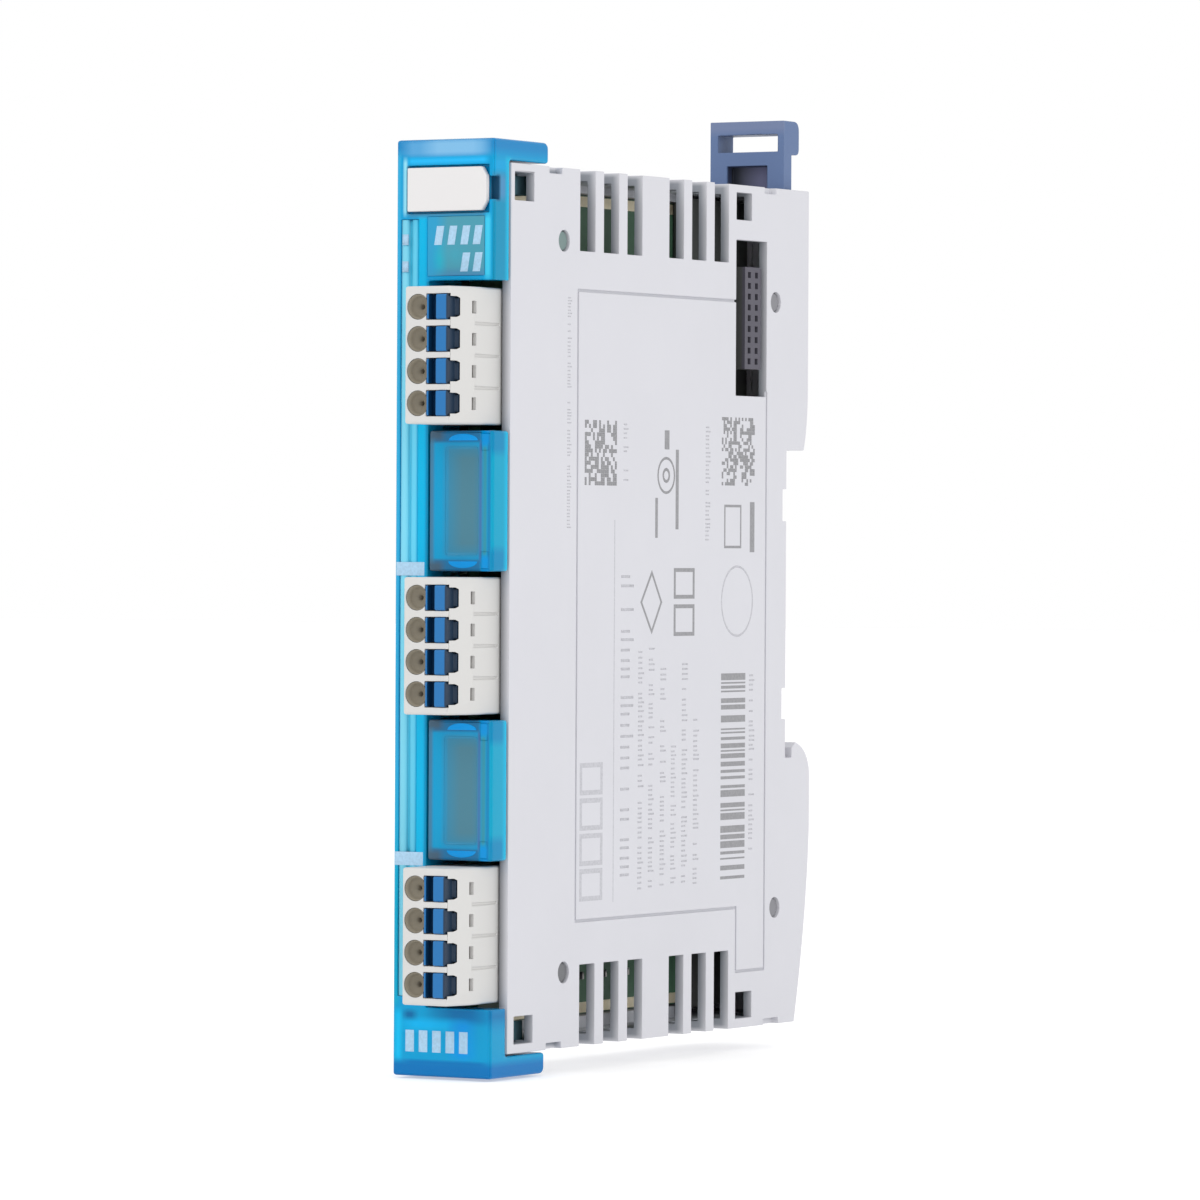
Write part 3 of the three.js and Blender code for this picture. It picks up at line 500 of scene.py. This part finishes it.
def boolean(mesh, operation, other_mesh):
    other = bpy.data.objects.new("other", other_mesh)
    bpy.context.scene.collection.objects.link(other)
    result = modified(mesh, "BOOLEAN", operation=operation, object=other, solver="EXACT", use_self=True)
    bpy.data.objects.remove(other)
    return result


def cut(mesh, solids):
    return boolean(mesh, "DIFFERENCE", mesh_of(together(solids)))


def added(mesh, solids):
    return boolean(mesh, "UNION", mesh_of(together(solids)))


def rounded(mesh, width_mm, segments=3):
    return modified(
        mesh, "BEVEL", limit_method="ANGLE", angle_limit=SHARP_ANGLE, width=width_mm * MM,
        segments=segments, use_clamp_overlap=False, miter_outer="MITER_ARC")


def piece(name, mesh, body, material, lift_mm=0.0, stands_for=()):
    """A new object of the visual model, with flat faces kept flat and its edges shaded smooth."""
    obj = bpy.data.objects.new(name, mesh)
    bpy.context.scene.collection.objects.link(obj)
    obj.location.z = lift_mm * MM
    mesh.shade_smooth()
    if not mesh.materials:
        mesh.materials.append(material)
    normals = obj.modifiers.new("normals", "WEIGHTED_NORMAL")
    normals.keep_sharp = True
    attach(obj, body)
    if stands_for:
        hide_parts(*stands_for)
    return obj


# ---------------------------------------------------------------- CAD nodes that stay
SHORTEST_EDGE = 0.055    # anything shorter is welded, so that the rounding has room everywhere
FLAT_ANGLE = math.radians(0.6)      # facets that turn by less than this are one flat face
CAD_SHARP_ANGLE = math.radians(32)
CAD_ROUNDING = {"left_shell": 0.09, "right_shell": 0.09, "rail_latch": 0.09, "marking_tag": 0.12}


def soften(obj, width_mm, segments=2):
    """Rounds a faceted node's edges without touching its mesh."""
    weld = obj.modifiers.new("weld", "WELD")
    weld.merge_threshold = SHORTEST_EDGE * MM
    flat = obj.modifiers.new("flat", "DECIMATE")
    flat.decimate_type = "DISSOLVE"
    flat.angle_limit = FLAT_ANGLE
    bevel = obj.modifiers.new("bevel", "BEVEL")
    bevel.limit_method = "ANGLE"
    bevel.angle_limit = CAD_SHARP_ANGLE
    bevel.width = width_mm * MM
    bevel.segments = segments
    bevel.use_clamp_overlap = False
    bevel.harden_normals = True
    bevel.miter_outer = "MITER_ARC"
    triangles = obj.modifiers.new("triangles", "TRIANGULATE")
    triangles.ngon_method = "BEAUTY"
    triangles.keep_custom_normals = True


def dress_cad_nodes():
    """Gives every CAD node its material, and rounds the edges of the ones in CAD_ROUNDING."""
    for entry in frame["record"]["subparts"]:
        node = entry["node"]
        obj = frame["nodes"][node]
        obj.data.materials.clear()
        obj.data.materials.append(NODE_MATERIALS.get(node, SLOT_MATERIALS[entry["material_slot"]]))
        if node in CAD_ROUNDING:
            soften(obj, CAD_ROUNDING[node])


# ---------------------------------------------------------------- the front
FLANGE_BACK = extent("front_cover")[3]
COVER_BACK, COVER_SKIN = 3.35, 1.4
SPINE_RIGHT = 4.3
TOP_BLOCK_BOTTOM, BOTTOM_BLOCK_TOP = 36.4, -44.4
TAG_X0, TAG_X1, _, _, TAG_Z0, TAG_Z1 = extent("marking_tag")
TAG_ROOM, TAG_POCKET_BACK = 0.25, 0.75
GUIDE_Y1, GUIDE_Z0, GUIDE_Z1 = extent("light_guide")[3:]
STRIP_X0, STRIP_X1 = 0.62, 2.95
PANEL_X0, PANEL_X1, PANEL_Z0, PANEL_Z1 = 4.1, 11.5, TOP_BLOCK_BOTTOM + 0.5, 43.5
PANEL_BACK = 0.35
FINGER_NOTCH_BACK, FINGER_NOTCH_Z0, FINGER_NOTCH_Z1 = 0.95, 45.3, 47.9
ARM_X0, ARM_X1, ARM_BACK, ARM_Z0, ARM_Z1 = 8.45, 10.2, 11.2, 46.2, 48.4
SNUG = 0.01              # the room round a piece that fills its pocket
MARK_FRONT = -0.02       # the front marks stand out this far


def make_cover():
    """The translucent cover: a spine, a block at each end, a flange over and under the housing."""
    inner = SHELL_HALF + 0.25
    end = 0.7
    profile = [(0, -HALF_HEIGHT), (0, HALF_HEIGHT)]
    profile += arc(FLANGE_BACK - end, HALF_HEIGHT - end, end, 90, 0, 4)
    profile += [(FLANGE_BACK, inner), (COVER_BACK, inner), (COVER_BACK, -inner), (FLANGE_BACK, -inner)]
    profile += arc(FLANGE_BACK - end, end - HALF_HEIGHT, end, 0, -90, 4)
    shell = rounded(mesh_of(pushed(profile, "x", 0, WIDTH)), COVER_ROUNDING)
    back, right = COVER_BACK + BEYOND, WIDTH + BEYOND
    between_blocks = brick(SPINE_RIGHT, right, -BEYOND, back, BOTTOM_BLOCK_TOP, TOP_BLOCK_BOTTOM)
    shell = cut(shell, [between_blocks])
    guide_half = GUIDE_Z1 + 0.05
    hollow_x0, hollow_x1, wall = 4.6, WIDTH - 1.15, 1.1
    shell = cut(shell, [
        brick(STRIP_X0 - SNUG, STRIP_X1 + SNUG, -BEYOND, back, -guide_half, guide_half),
        brick(hollow_x0, hollow_x1, COVER_SKIN, back, TOP_BLOCK_BOTTOM + wall, SHELL_HALF - 0.3),
        brick(hollow_x0, hollow_x1, COVER_SKIN, back, 0.3 - SHELL_HALF, BOTTOM_BLOCK_TOP - wall),
        brick(TAG_X0 - TAG_ROOM, TAG_X1 + TAG_ROOM, -BEYOND, TAG_POCKET_BACK,
              TAG_Z0 - TAG_ROOM, TAG_Z1 + TAG_ROOM),
        brick(PANEL_X0 - SNUG, PANEL_X1 + SNUG, -BEYOND, PANEL_BACK, PANEL_Z0 - SNUG, PANEL_Z1 + SNUG),
    ])
    finger_notch = brick(TAG_X1, right, -BEYOND, FINGER_NOTCH_BACK, FINGER_NOTCH_Z0, FINGER_NOTCH_Z1)
    shell = cut(shell, [finger_notch])
    arms = []
    for side in (1, -1):
        z0, z1 = sorted((side * ARM_Z0, side * ARM_Z1))
        arms.append(brick(ARM_X0, ARM_X1, COVER_SKIN - 0.2, ARM_BACK, z0, z1))
    shell = rounded(added(shell, arms), 0.1, 2)
    piece("cover_moulding", shell, "housing", COVER, stands_for=["front_cover"])


def make_guide():
    """The light guide: a blade from the board to the front, where two round ribs show."""
    left_rib, right_rib, rib_foot, valley = 0.52, 0.48, 0.3, 0.35
    outline = [(STRIP_X0, GUIDE_Y1), (STRIP_X0, valley)]
    outline += arc(STRIP_X0 + left_rib, rib_foot, left_rib, 180, 360, 10, 0.5)
    outline += [(STRIP_X0 + 1.08, valley), (STRIP_X0 + 1.3, valley)]
    outline += arc(STRIP_X1 - right_rib, rib_foot, right_rib, 180, 360, 10, 0.45)
    outline += [(STRIP_X1, GUIDE_Y1)]
    blade = mesh_of(pushed(outline, "z", GUIDE_Z0, GUIDE_Z1))
    piece("light_strip", blade, "housing", GUIDE, stands_for=["light_guide"])


def slanted_bar(x, z):
    """A slanted bar of the type marks: x is its lower left corner, z its middle."""
    width, half, slant = 0.95, 1.05, 0.35
    outline = [(x, z - half), (x + width, z - half), (x + width + slant, z + half), (x + slant, z + half)]
    return pushed(outline, "y", MARK_FRONT, 0.1)


def make_front_marks():
    """Generic marks where the real module has its type, its maker and the numbers of its lamps."""
    patches = [brick(0.25, 3.9, MARK_FRONT, 0.2, z - 0.75, z + 0.75) for z in (4.37, -27.9)]
    piece("lamp_index_patches", mesh_of(together(patches)), "housing", INK_PALE)
    bars = []
    for row_z, starts in ((41.4, (5.0, 6.7, 8.4, 10.0)), (38.4, (8.4, 10.0))):
        bars += [slanted_bar(x, row_z) for x in starts]
    bars += [brick(0.85, 1.6, MARK_FRONT, 0.1, z - 0.6, z + 0.6) for z in (41.0, 38.0)]
    piece("type_marks", mesh_of(together(bars)), "housing", INK_PALE)
    panel = rounded(mesh_of(brick(PANEL_X0, PANEL_X1, 0.0, PANEL_BACK, PANEL_Z0, PANEL_Z1)), 0.08, 2)
    piece("type_panel", panel, "housing", TYPE_PANEL)
    pitch = 1.75
    strokes = [brick(1.7 + i * pitch, 2.85 + i * pitch, MARK_FRONT, 0.3, -49.4, -46.95) for i in range(5)]
    piece("maker_marks", rounded(mesh_of(together(strokes)), 0.06, 2), "housing", INK_PALE)


def make_caps():
    """The caps on the two unused places: a framed window, finger crescents and stepped corners."""
    half, wall, skin = CAP_HALF, 1.1, 1.3
    left = CAP_X0 - 0.1
    cap = rounded(mesh_of(brick(left, CAP_X1, 0, COVER_BACK, -half, half)), CAP_ROUNDING)
    hollow = brick(left + wall, CAP_X1 - 1.15, skin, COVER_BACK + BEYOND, wall - half, half - wall)
    window_half, window_depth = 6.2, 0.14
    window = mesh_of(brick(6.4, 11.05, -BEYOND, window_depth, -window_half, window_half))
    window = rounded(window, 0.5)
    cap = cut(cap, [hollow])
    cap = boolean(cap, "DIFFERENCE", window)
    lugs, bows = [], []
    for side in (1, -1):
        z0, z1 = sorted((side * 5.6, side * (half - 0.3)))
        lugs.append(brick(WIDTH - 1.5, WIDTH - 0.5, -0.05, 0.5, z0, z1))
        bow = arc(8.9, side * 6.7, 1.9, 0, 180 * side, 14, 0.4)
        bows.append(pushed(bow, "y", -0.04, 0.3))
    leg_half = 1.5
    legs = [brick(left + 0.3, left + 1.2, COVER_BACK - 0.5, CAP_Y1, z - leg_half, z + leg_half)
            for z in (-4.4, 4.4)]
    cap = rounded(added(added(cap, lugs), legs), 0.08, 2)
    crescents = rounded(mesh_of(together(bows)), FINE_ROUNDING, 2)
    for place, lift in CAP_HEIGHTS.items():
        piece(f"cap_{place}", cap, "housing", CAP, lift, [f"blank_cap_{place}"])
        piece(f"cap_crescents_{place}", crescents, "housing", CRESCENT, lift)


# ---------------------------------------------------------------- the terminal blocks
CHAMBER_BACK, CHAMBER_HALF = 8.0, 1.4     # the room for a clamp
PIN_HOLE_HALF = 0.65                      # the hole behind it, for the header's pin


def tongue_notch(z):
    """The notch beside a button's well that its tongue slides in, with cut corners."""
    x0, x1, x2 = BEVEL_START - 0.2, BEVEL_START + 0.3, BEVEL_START + 0.46
    wide, narrow = 1.15, 0.95
    lower = [(x0, z - wide), (x1, z - wide), (x2, z - narrow)]
    upper = [(x2, z + narrow), (x1, z + wide), (x0, z + wide)]
    return pushed(lower + upper, "y", PLUG_Y0 - BEYOND, TONGUE_BACK + PRESS + 0.15)


def plug_mesh():
    """A terminal block with its clamp chambers, wells, wire entries, test slots and side lines."""
    front, back, right = PLUG_Y0 - BEYOND, PLUG_Y1 + BEYOND, PLUG_X1 + BEYOND
    outline = [(PLUG_X0, PLUG_Y0), (BEVEL_START, PLUG_Y0), (PLUG_X1, BEVEL_BACK), (PLUG_X1, PLUG_Y1),
               (PLUG_X0, PLUG_Y1)]
    mesh = rounded(mesh_of(pushed(outline, "z", -PLUG_HALF, PLUG_HALF)), PLUG_ROUNDING)
    chambers, wells, entries, slots = [], [], [], []
    for z in POLE_HEIGHTS:
        chambers.append(brick(5.2, 10.6, -0.6, CHAMBER_BACK, z - CHAMBER_HALF, z + CHAMBER_HALF))
        chambers.append(brick(7.35, 8.65, CHAMBER_BACK - 0.2, back, z - PIN_HOLE_HALF, z + PIN_HOLE_HALF))
        wells.append(brick(BUTTON_X0 - 0.12, BEVEL_START, front, -0.3, z - WELL_HALF, z + WELL_HALF))
        entries.append(turned([(front, WIRE_RADIUS), (0, WIRE_RADIUS)], "y", (WIRE_X, z)))
        slots.append(tongue_notch(z))
        slots.append(brick(TEST_X, right, TEST_Y0, TEST_Y1, z - TEST_HALF, z + TEST_HALF))
    line_half = 0.16
    lines = [brick(PLUG_X1 - 0.18, right, -1.8, 3.4, z - line_half, z + line_half)
             for z in (-POLE_PITCH, 0, POLE_PITCH)]
    mesh = cut(mesh, chambers)
    mesh = cut(mesh, wells)
    mesh = cut(mesh, entries)
    mesh = cut(mesh, slots + lines)
    return rounded(mesh, FINE_ROUNDING, 2)


def wire_entry_mesh():
    """The cups that guide the wires in, each with a small port in its floor. A cup's right edge is cut
    off where the button's well is."""
    outer, back = WIRE_RADIUS - 0.02, -0.8
    profile = [(PLUG_Y0 + 0.12, outer), (PLUG_Y0 + 0.12, outer - 0.1), (PLUG_Y0 + 0.7, 1.15),
               (PLUG_Y0 + 0.95, 0.9), (PLUG_Y0 + 1.0, 0.32), (back, 0.3), (back, outer)]
    cups = [turned(profile, "y", (WIRE_X, z), ring=True) for z in POLE_HEIGHTS]
    half = 1.5
    wells = [brick(BUTTON_X0 - 0.15, BEVEL_START, PLUG_Y0 - BEYOND, 0, z - half, z + half)
             for z in POLE_HEIGHTS]
    return cut(mesh_of(together(cups)), wells)


def button_mesh():
    """A release button's head and tongue, with the groove that a screwdriver presses in."""
    half = BUTTON_HALF
    head = mesh_of(brick(BUTTON_X0, BUTTON_X1 - 0.45, BUTTON_Y0, BUTTON_Y1, -half, half))
    head = rounded(head, BUTTON_ROUNDING)
    tongue = brick(BUTTON_X1 - 0.55, BUTTON_X1, -4.0, TONGUE_BACK, -0.95, 0.95)
    front, wall, floor = BUTTON_Y0 - BEYOND, BUTTON_Y0 + 1.0, BUTTON_Y0 + 1.25
    outline = [(7.72, front), (7.78, wall), (7.95, floor), (8.5, floor), (8.68, wall), (8.75, front)]
    groove = pushed(outline, "z", -half - BEYOND, half + BEYOND)
    return rounded(cut(added(head, [tongue]), [groove]), FINE_ROUNDING, 2)


def slot_contacts_mesh():
    """The contacts in the test slots of one terminal block."""
    half = TEST_HALF - SNUG
    points = [brick(TEST_X + SNUG, PLUG_X1 - 0.45, TEST_Y0 + SNUG, TEST_Y1 - SNUG, z - half, z + half)
              for z in POLE_HEIGHTS]
    return rounded(mesh_of(together(points)), FINE_ROUNDING, 1)


def make_plugs():
    """The three terminal blocks, each on its own body, and their buttons, each on its own."""
    plug, entries, button, contacts = plug_mesh(), wire_entry_mesh(), button_mesh(), slot_contacts_mesh()
    for place, height in PLUG_HEIGHTS.items():
        piece(f"terminal_block_{place}", plug, f"plug_{place}", PLUG, height,
              [f"plug_body_{place}"])
        piece(f"wire_entries_{place}", entries, f"plug_{place}", WIRE_ENTRY, height)
        piece(f"test_points_{place}", contacts, f"plug_{place}", TEST_POINT, height)
        for pole, z in zip(POLES, POLE_HEIGHTS):
            piece(f"button_head_{place}_{pole}", button, f"button_{place}_{pole}", BUTTON,
                  height + z, [f"release_button_{place}_{pole}"])


# ---------------------------------------------------------------- inside
_, BOARD_X1, _, _, BOARD_Z0, BOARD_Z1 = extent("main_board")


def make_edge_plating():
    """The plated strips along the board's long edges, that show through the vents."""
    near, far = 0.1, 1.3
    strips = [brick(BOARD_X1 - 0.02, BOARD_X1 + 0.04, 10.5, 55.0, z0, z1)
              for z0, z1 in ((BOARD_Z1 - far, BOARD_Z1 - near), (BOARD_Z0 + near, BOARD_Z0 + far))]
    piece("edge_plating", mesh_of(together(strips)), "housing", GOLD)


def make_small_parts():
    """Rows of chip resistors on the board, bodies and tinned ends."""
    foot, pitch = BOARD_X1 + 0.02, 5.2
    body_top, body_half = BOARD_X1 + 0.5, 0.4
    end_top, end_half = BOARD_X1 + 0.52, 0.42
    bodies, ends = [], []
    for z, first_y in ((-42.4, 30.6), (-44.3, 34.2)):
        for i in range(4):
            y = first_y + pitch * i
            bodies.append(brick(foot, body_top, y + 0.3, y + 1.3, z - body_half, z + body_half))
            for y0, y1 in ((y, y + 0.32), (y + 1.28, y + 1.6)):
                ends.append(brick(foot, end_top, y0, y1, z - end_half, z + end_half))
    piece("resistor_bodies", rounded(mesh_of(together(bodies)), 0.04, 1), "housing", CHIP)
    piece("resistor_ends", rounded(mesh_of(together(ends)), FINE_ROUNDING, 1), "housing", TIN)


# ---------------------------------------------------------------- prints on the right side
PRINT_X0, PRINT_X1 = WIDTH - 0.01, WIDTH + 0.004


def print_bar(y0, y1, z0, z1):
    return brick(PRINT_X0, PRINT_X1, y0, y1, z0, z1)


def print_line(points, width):
    """A drawn line through points in (y, z): one flat strip, mitred at its corners."""
    path = [Vector(p) for p in points]
    closed = (path[0] - path[-1]).length < 1e-6
    if closed:
        path.pop()
    count = len(path)
    corners, faces = [], []
    for i, here in enumerate(path):
        first, last = not closed and i == 0, not closed and i == count - 1
        before = (here - path[i - 1]).normalized()
        after = (path[(i + 1) % count] - here).normalized()
        ahead = before if last else after
        behind = ahead if first else before
        along = (ahead + behind).normalized()
        across = Vector((-along.y, along.x)) * (width / 2 / max(0.4, along.dot(ahead)))
        for x, side in ((PRINT_X0, -1), (PRINT_X0, 1), (PRINT_X1, 1), (PRINT_X1, -1)):
            corners.append((x, here.x + side * across.x, here.y + side * across.y))
    for i in range(count if closed else count - 1):
        near, far = 4 * i, 4 * ((i + 1) % count)
        faces += [(near + j, near + (j + 1) % 4, far + (j + 1) % 4, far + j) for j in range(4)]
    if not closed:
        faces += [(0, 1, 2, 3), tuple(4 * count - 1 - j for j in range(4))]
    return [(corners, faces)]


def print_box(y0, y1, z0, z1, width):
    """The outline of a rectangle."""
    return print_line([(y0, z0), (y1, z0), (y1, z1), (y0, z1), (y0, z0)], width)


def print_grid(y0, y1, z0, z1, columns, rows, chance, dice):
    """A generic field of squares, scattered by a seeded draw. It encodes nothing."""
    step_y, step_z = (y1 - y0) / columns, (z1 - z0) / rows
    fill = 0.96              # squares that touched would share a face
    cells = [(i, j) for i in range(columns) for j in range(rows) if dice.random() < chance]
    return [print_bar(y0 + i * step_y, y0 + (i + fill) * step_y, z0 + j * step_z, z0 + (j + fill) * step_z)
            for i, j in cells]


def print_ticks(y, size, z_top, z_bottom, dice):
    """A line of plain ticks in groups, in place of lettering: no tick meets another."""
    ticks = []
    line = min(0.3, size * 0.16)
    gap, gap_chance = size * 0.5, 0.16
    z = z_top
    while z > z_bottom + gap:
        if dice.random() < gap_chance:
            z -= gap
            continue
        tall = size * dice.choice((0.7, 0.7, 1.0))
        ticks.append(print_bar(y, y + tall, z - line, z))
        z -= line + size * dice.uniform(0.2, 0.34)
    return ticks


def make_symbols(dice):
    """A square field and plain figures, in place of a printed code and the approval marks."""
    prints = print_grid(19.9, 27.1, 13.9, 21.3, 16, 16, 0.55, dice)
    prints += print_line(arc(38.4, 15.2, 1.9, 0, 360, 24, 1.05), 0.3)
    prints += print_line(arc(38.4, 15.2, 0.7, 0, 360, 12, 1.0), 0.35)
    prints.append(print_bar(38.0, 39.1, 18.2, 20.4))
    prints.append(print_bar(40.6, 41.3, 9.0, 18.2))
    prints.append(print_bar(35.9, 36.5, 8.0, 12.6))
    prints += print_line([(32.8, 0.6), (35.2, 4.0), (37.4, 0.6), (35.2, -2.8), (32.8, 0.6)], 0.35)
    for low, high in ((1.2, 4.3), (-3.1, 0.1)):
        prints += print_box(40.5, 44.9, high, low, 0.45)
    piece("print_symbols", mesh_of(together(prints)), "housing", INK_DARK)


def make_fields(dice):
    """The second square field, a box with a bar beside it, and the striped field."""
    prints = print_grid(51.4, 59.3, 14.2, 22.2, 20, 20, 0.5, dice)
    prints += print_box(52.2, 56.0, 7.0, 11.8, 0.3)
    prints.append(print_bar(58.2, 59.3, 6.4, 12.3))
    z, last_start, bottom = -7.8, -31.6, -31.9
    while z > last_start:
        thick = dice.choice((0.2, 0.35, 0.55, 0.8))
        prints.append(print_bar(51.5, 57.3, max(z - thick, bottom), z))
        z -= thick + dice.choice((0.22, 0.4, 0.7))
    piece("print_fields", mesh_of(together(prints)), "housing", INK_DARK)


# The lines of ticks: where a line stands along y, its height, its upper end and its lower end.
TICK_LINES = [
    (16.0, 0.9, 35.0, 8.0),
    (28.2, 2.9, 3.7, -32.8),
    (32.2, 1.3, -5.0, -32.8),
    (34.6, 1.3, -4.0, -32.8),
    (37.3, 1.3, -7.0, -32.8),
    (39.8, 1.2, -16.0, -32.8),
    (42.3, 1.3, -6.5, -32.8),
    (45.0, 1.3, -13.0, -32.8),
    (58.2, 1.3, -8.0, -30.0),
    (28.6, 1.1, 21.0, 14.0),
    (47.6, 1.1, 21.0, 7.0),
]


def make_faint_prints(dice):
    """The pale circle, the lines of ticks, four boxes in place of a name, and the long thin line."""
    prints = print_line(arc(55.2, 0.65, 3.7, 0, 360, 32, 1.1), 0.25)
    for y, size, z_top, z_bottom in TICK_LINES:
        prints += print_ticks(y, size, z_top, z_bottom, dice)
    for z in (-17.8, -21.8, -25.8, -29.8):
        prints += print_box(19.4, 24.0, z, z - 3.1, 0.55)
    prints.append(print_bar(26.6, 26.8, -33.5, 10.0))
    piece("print_lines", mesh_of(together(prints)), "housing", INK_FAINT)


def make_prints():
    """Every print on the right side, all from one seeded draw."""
    dice = random.Random(7)
    make_symbols(dice)
    make_fields(dice)
    make_faint_prints(dice)


# ---------------------------------------------------------------- pins and mould marks
# Each pin and each mark by its y and z.
PINS = [(15.2, 41.3), (15.8, -41.0), (64.3, 36.0), (64.7, -35.7)]
PIN_START, PIN_RADIUS, PIN_CHAMFER = 10.0, 1.13, 0.13
MOULD_MARKS = [(16.0, 30.0), (16.0, -30.0), (40.0, 38.0), (40.0, -38.0), (48.0, 4.0)]


def make_pin_heads():
    """The heads of the four pins that hold the shells together, just below the right side."""
    profile = [(PIN_START, PIN_RADIUS), (WIDTH - 0.42, PIN_RADIUS), (WIDTH - 0.3, PIN_RADIUS - PIN_CHAMFER)]
    heads = [turned(profile, "x", place, 24) for place in PINS]
    piece("pin_heads", mesh_of(together(heads)), "housing", PIN_HEAD)


def make_mould_marks():
    """Shallow round ejector marks on the left side, each a thin ring of the housing's plastic."""
    top, foot = -0.04, 0.02
    profile = [(top, 2.2), (top, 2.0), (foot, 1.95), (foot, 2.25)]
    rings = [turned(profile, "x", place, 40, ring=True) for place in MOULD_MARKS]
    piece("mould_marks", mesh_of(together(rings)), "housing", HOUSING)


dress_cad_nodes()
make_cover()
make_guide()
make_front_marks()
make_caps()
make_plugs()
make_edge_plating()
make_small_parts()
make_prints()
make_pin_heads()
make_mould_marks()


# ---------------------------------------------------------------- stage, light and camera
FLOOR_HALF = 4.0         # metres
FLOOR_GAP = 0.3 * MM


def make_stage():
    """A pale floor, lit a little from within so that it fades into the white behind it."""
    half, z = FLOOR_HALF, COVER_LOW.z - FLOOR_GAP
    corners = [(-half, -half, z), (half, -half, z), (half, half, z), (-half, half, z)]
    floor_mesh = bpy.data.meshes.new("floor")
    floor_mesh.from_pydata(corners, [], [(0, 1, 2, 3)])
    floor = bpy.data.objects.new("floor", floor_mesh)
    bpy.context.scene.collection.objects.link(floor)
    n = Nodes("floor_paper")
    n.put(n.shader, "Base Color", (0.62, 0.62, 0.62))
    n.put(n.shader, "Roughness", 0.9)
    n.put(n.shader, "Emission Color", (1.0, 1.0, 1.0))
    n.put(n.shader, "Emission Strength", 0.45)
    floor_mesh.materials.append(n.material)


def area_light(name, place, target, size, power):
    data = bpy.data.lights.new(name, "AREA")
    data.shape = "SQUARE"
    data.size = size
    data.energy = power
    light = bpy.data.objects.new(name, data)
    bpy.context.scene.collection.objects.link(light)
    light.location = place
    light.rotation_euler = (Vector(target) - Vector(place)).to_track_quat("-Z", "Y").to_euler()


def make_light():
    world = bpy.data.worlds.new("studio")
    bpy.context.scene.world = world
    world.use_nodes = True
    background = world.node_tree.nodes["Background"]
    background.inputs["Color"].default_value = (1.0, 1.0, 1.0, 1.0)
    background.inputs["Strength"].default_value = 1.0
    middle = at(WIDTH / 2, 30, 0)
    area_light("key", middle + Vector((-0.35, -0.8, 0.9)), middle, 0.7, 2.4)
    area_light("side", middle + Vector((0.9, -0.3, 0.5)), middle, 0.8, 2.0)


def make_camera():
    """The view from the front right, almost level, through a long lens."""
    turn, tilt, roll, distance = 0.531, 0.007, 0.005, 0.8021
    target = at(8.957, 30.0, 0.841)
    back = Vector((math.sin(turn) * math.cos(tilt), -math.cos(turn) * math.cos(tilt), math.sin(tilt)))
    right = (-back).cross(Vector((0, 0, 1))).normalized()
    up = right.cross(-back)
    rolled_right = right * math.cos(roll) + up * math.sin(roll)
    rolled_up = up * math.cos(roll) - right * math.sin(roll)
    rotation = Matrix((rolled_right, rolled_up, back)).transposed()
    data = bpy.data.cameras.new("camera")
    data.sensor_width = 36.0
    data.lens = 210.1
    data.clip_start = 0.01
    data.clip_end = 50.0
    camera = bpy.data.objects.new("camera", data)
    bpy.context.scene.collection.objects.link(camera)
    camera.matrix_world = Matrix.Translation(target + back * distance) @ rotation.to_4x4()
    bpy.context.scene.camera = camera


make_stage()
make_light()
make_camera()
bpy.context.scene.view_settings.view_transform = "Standard"
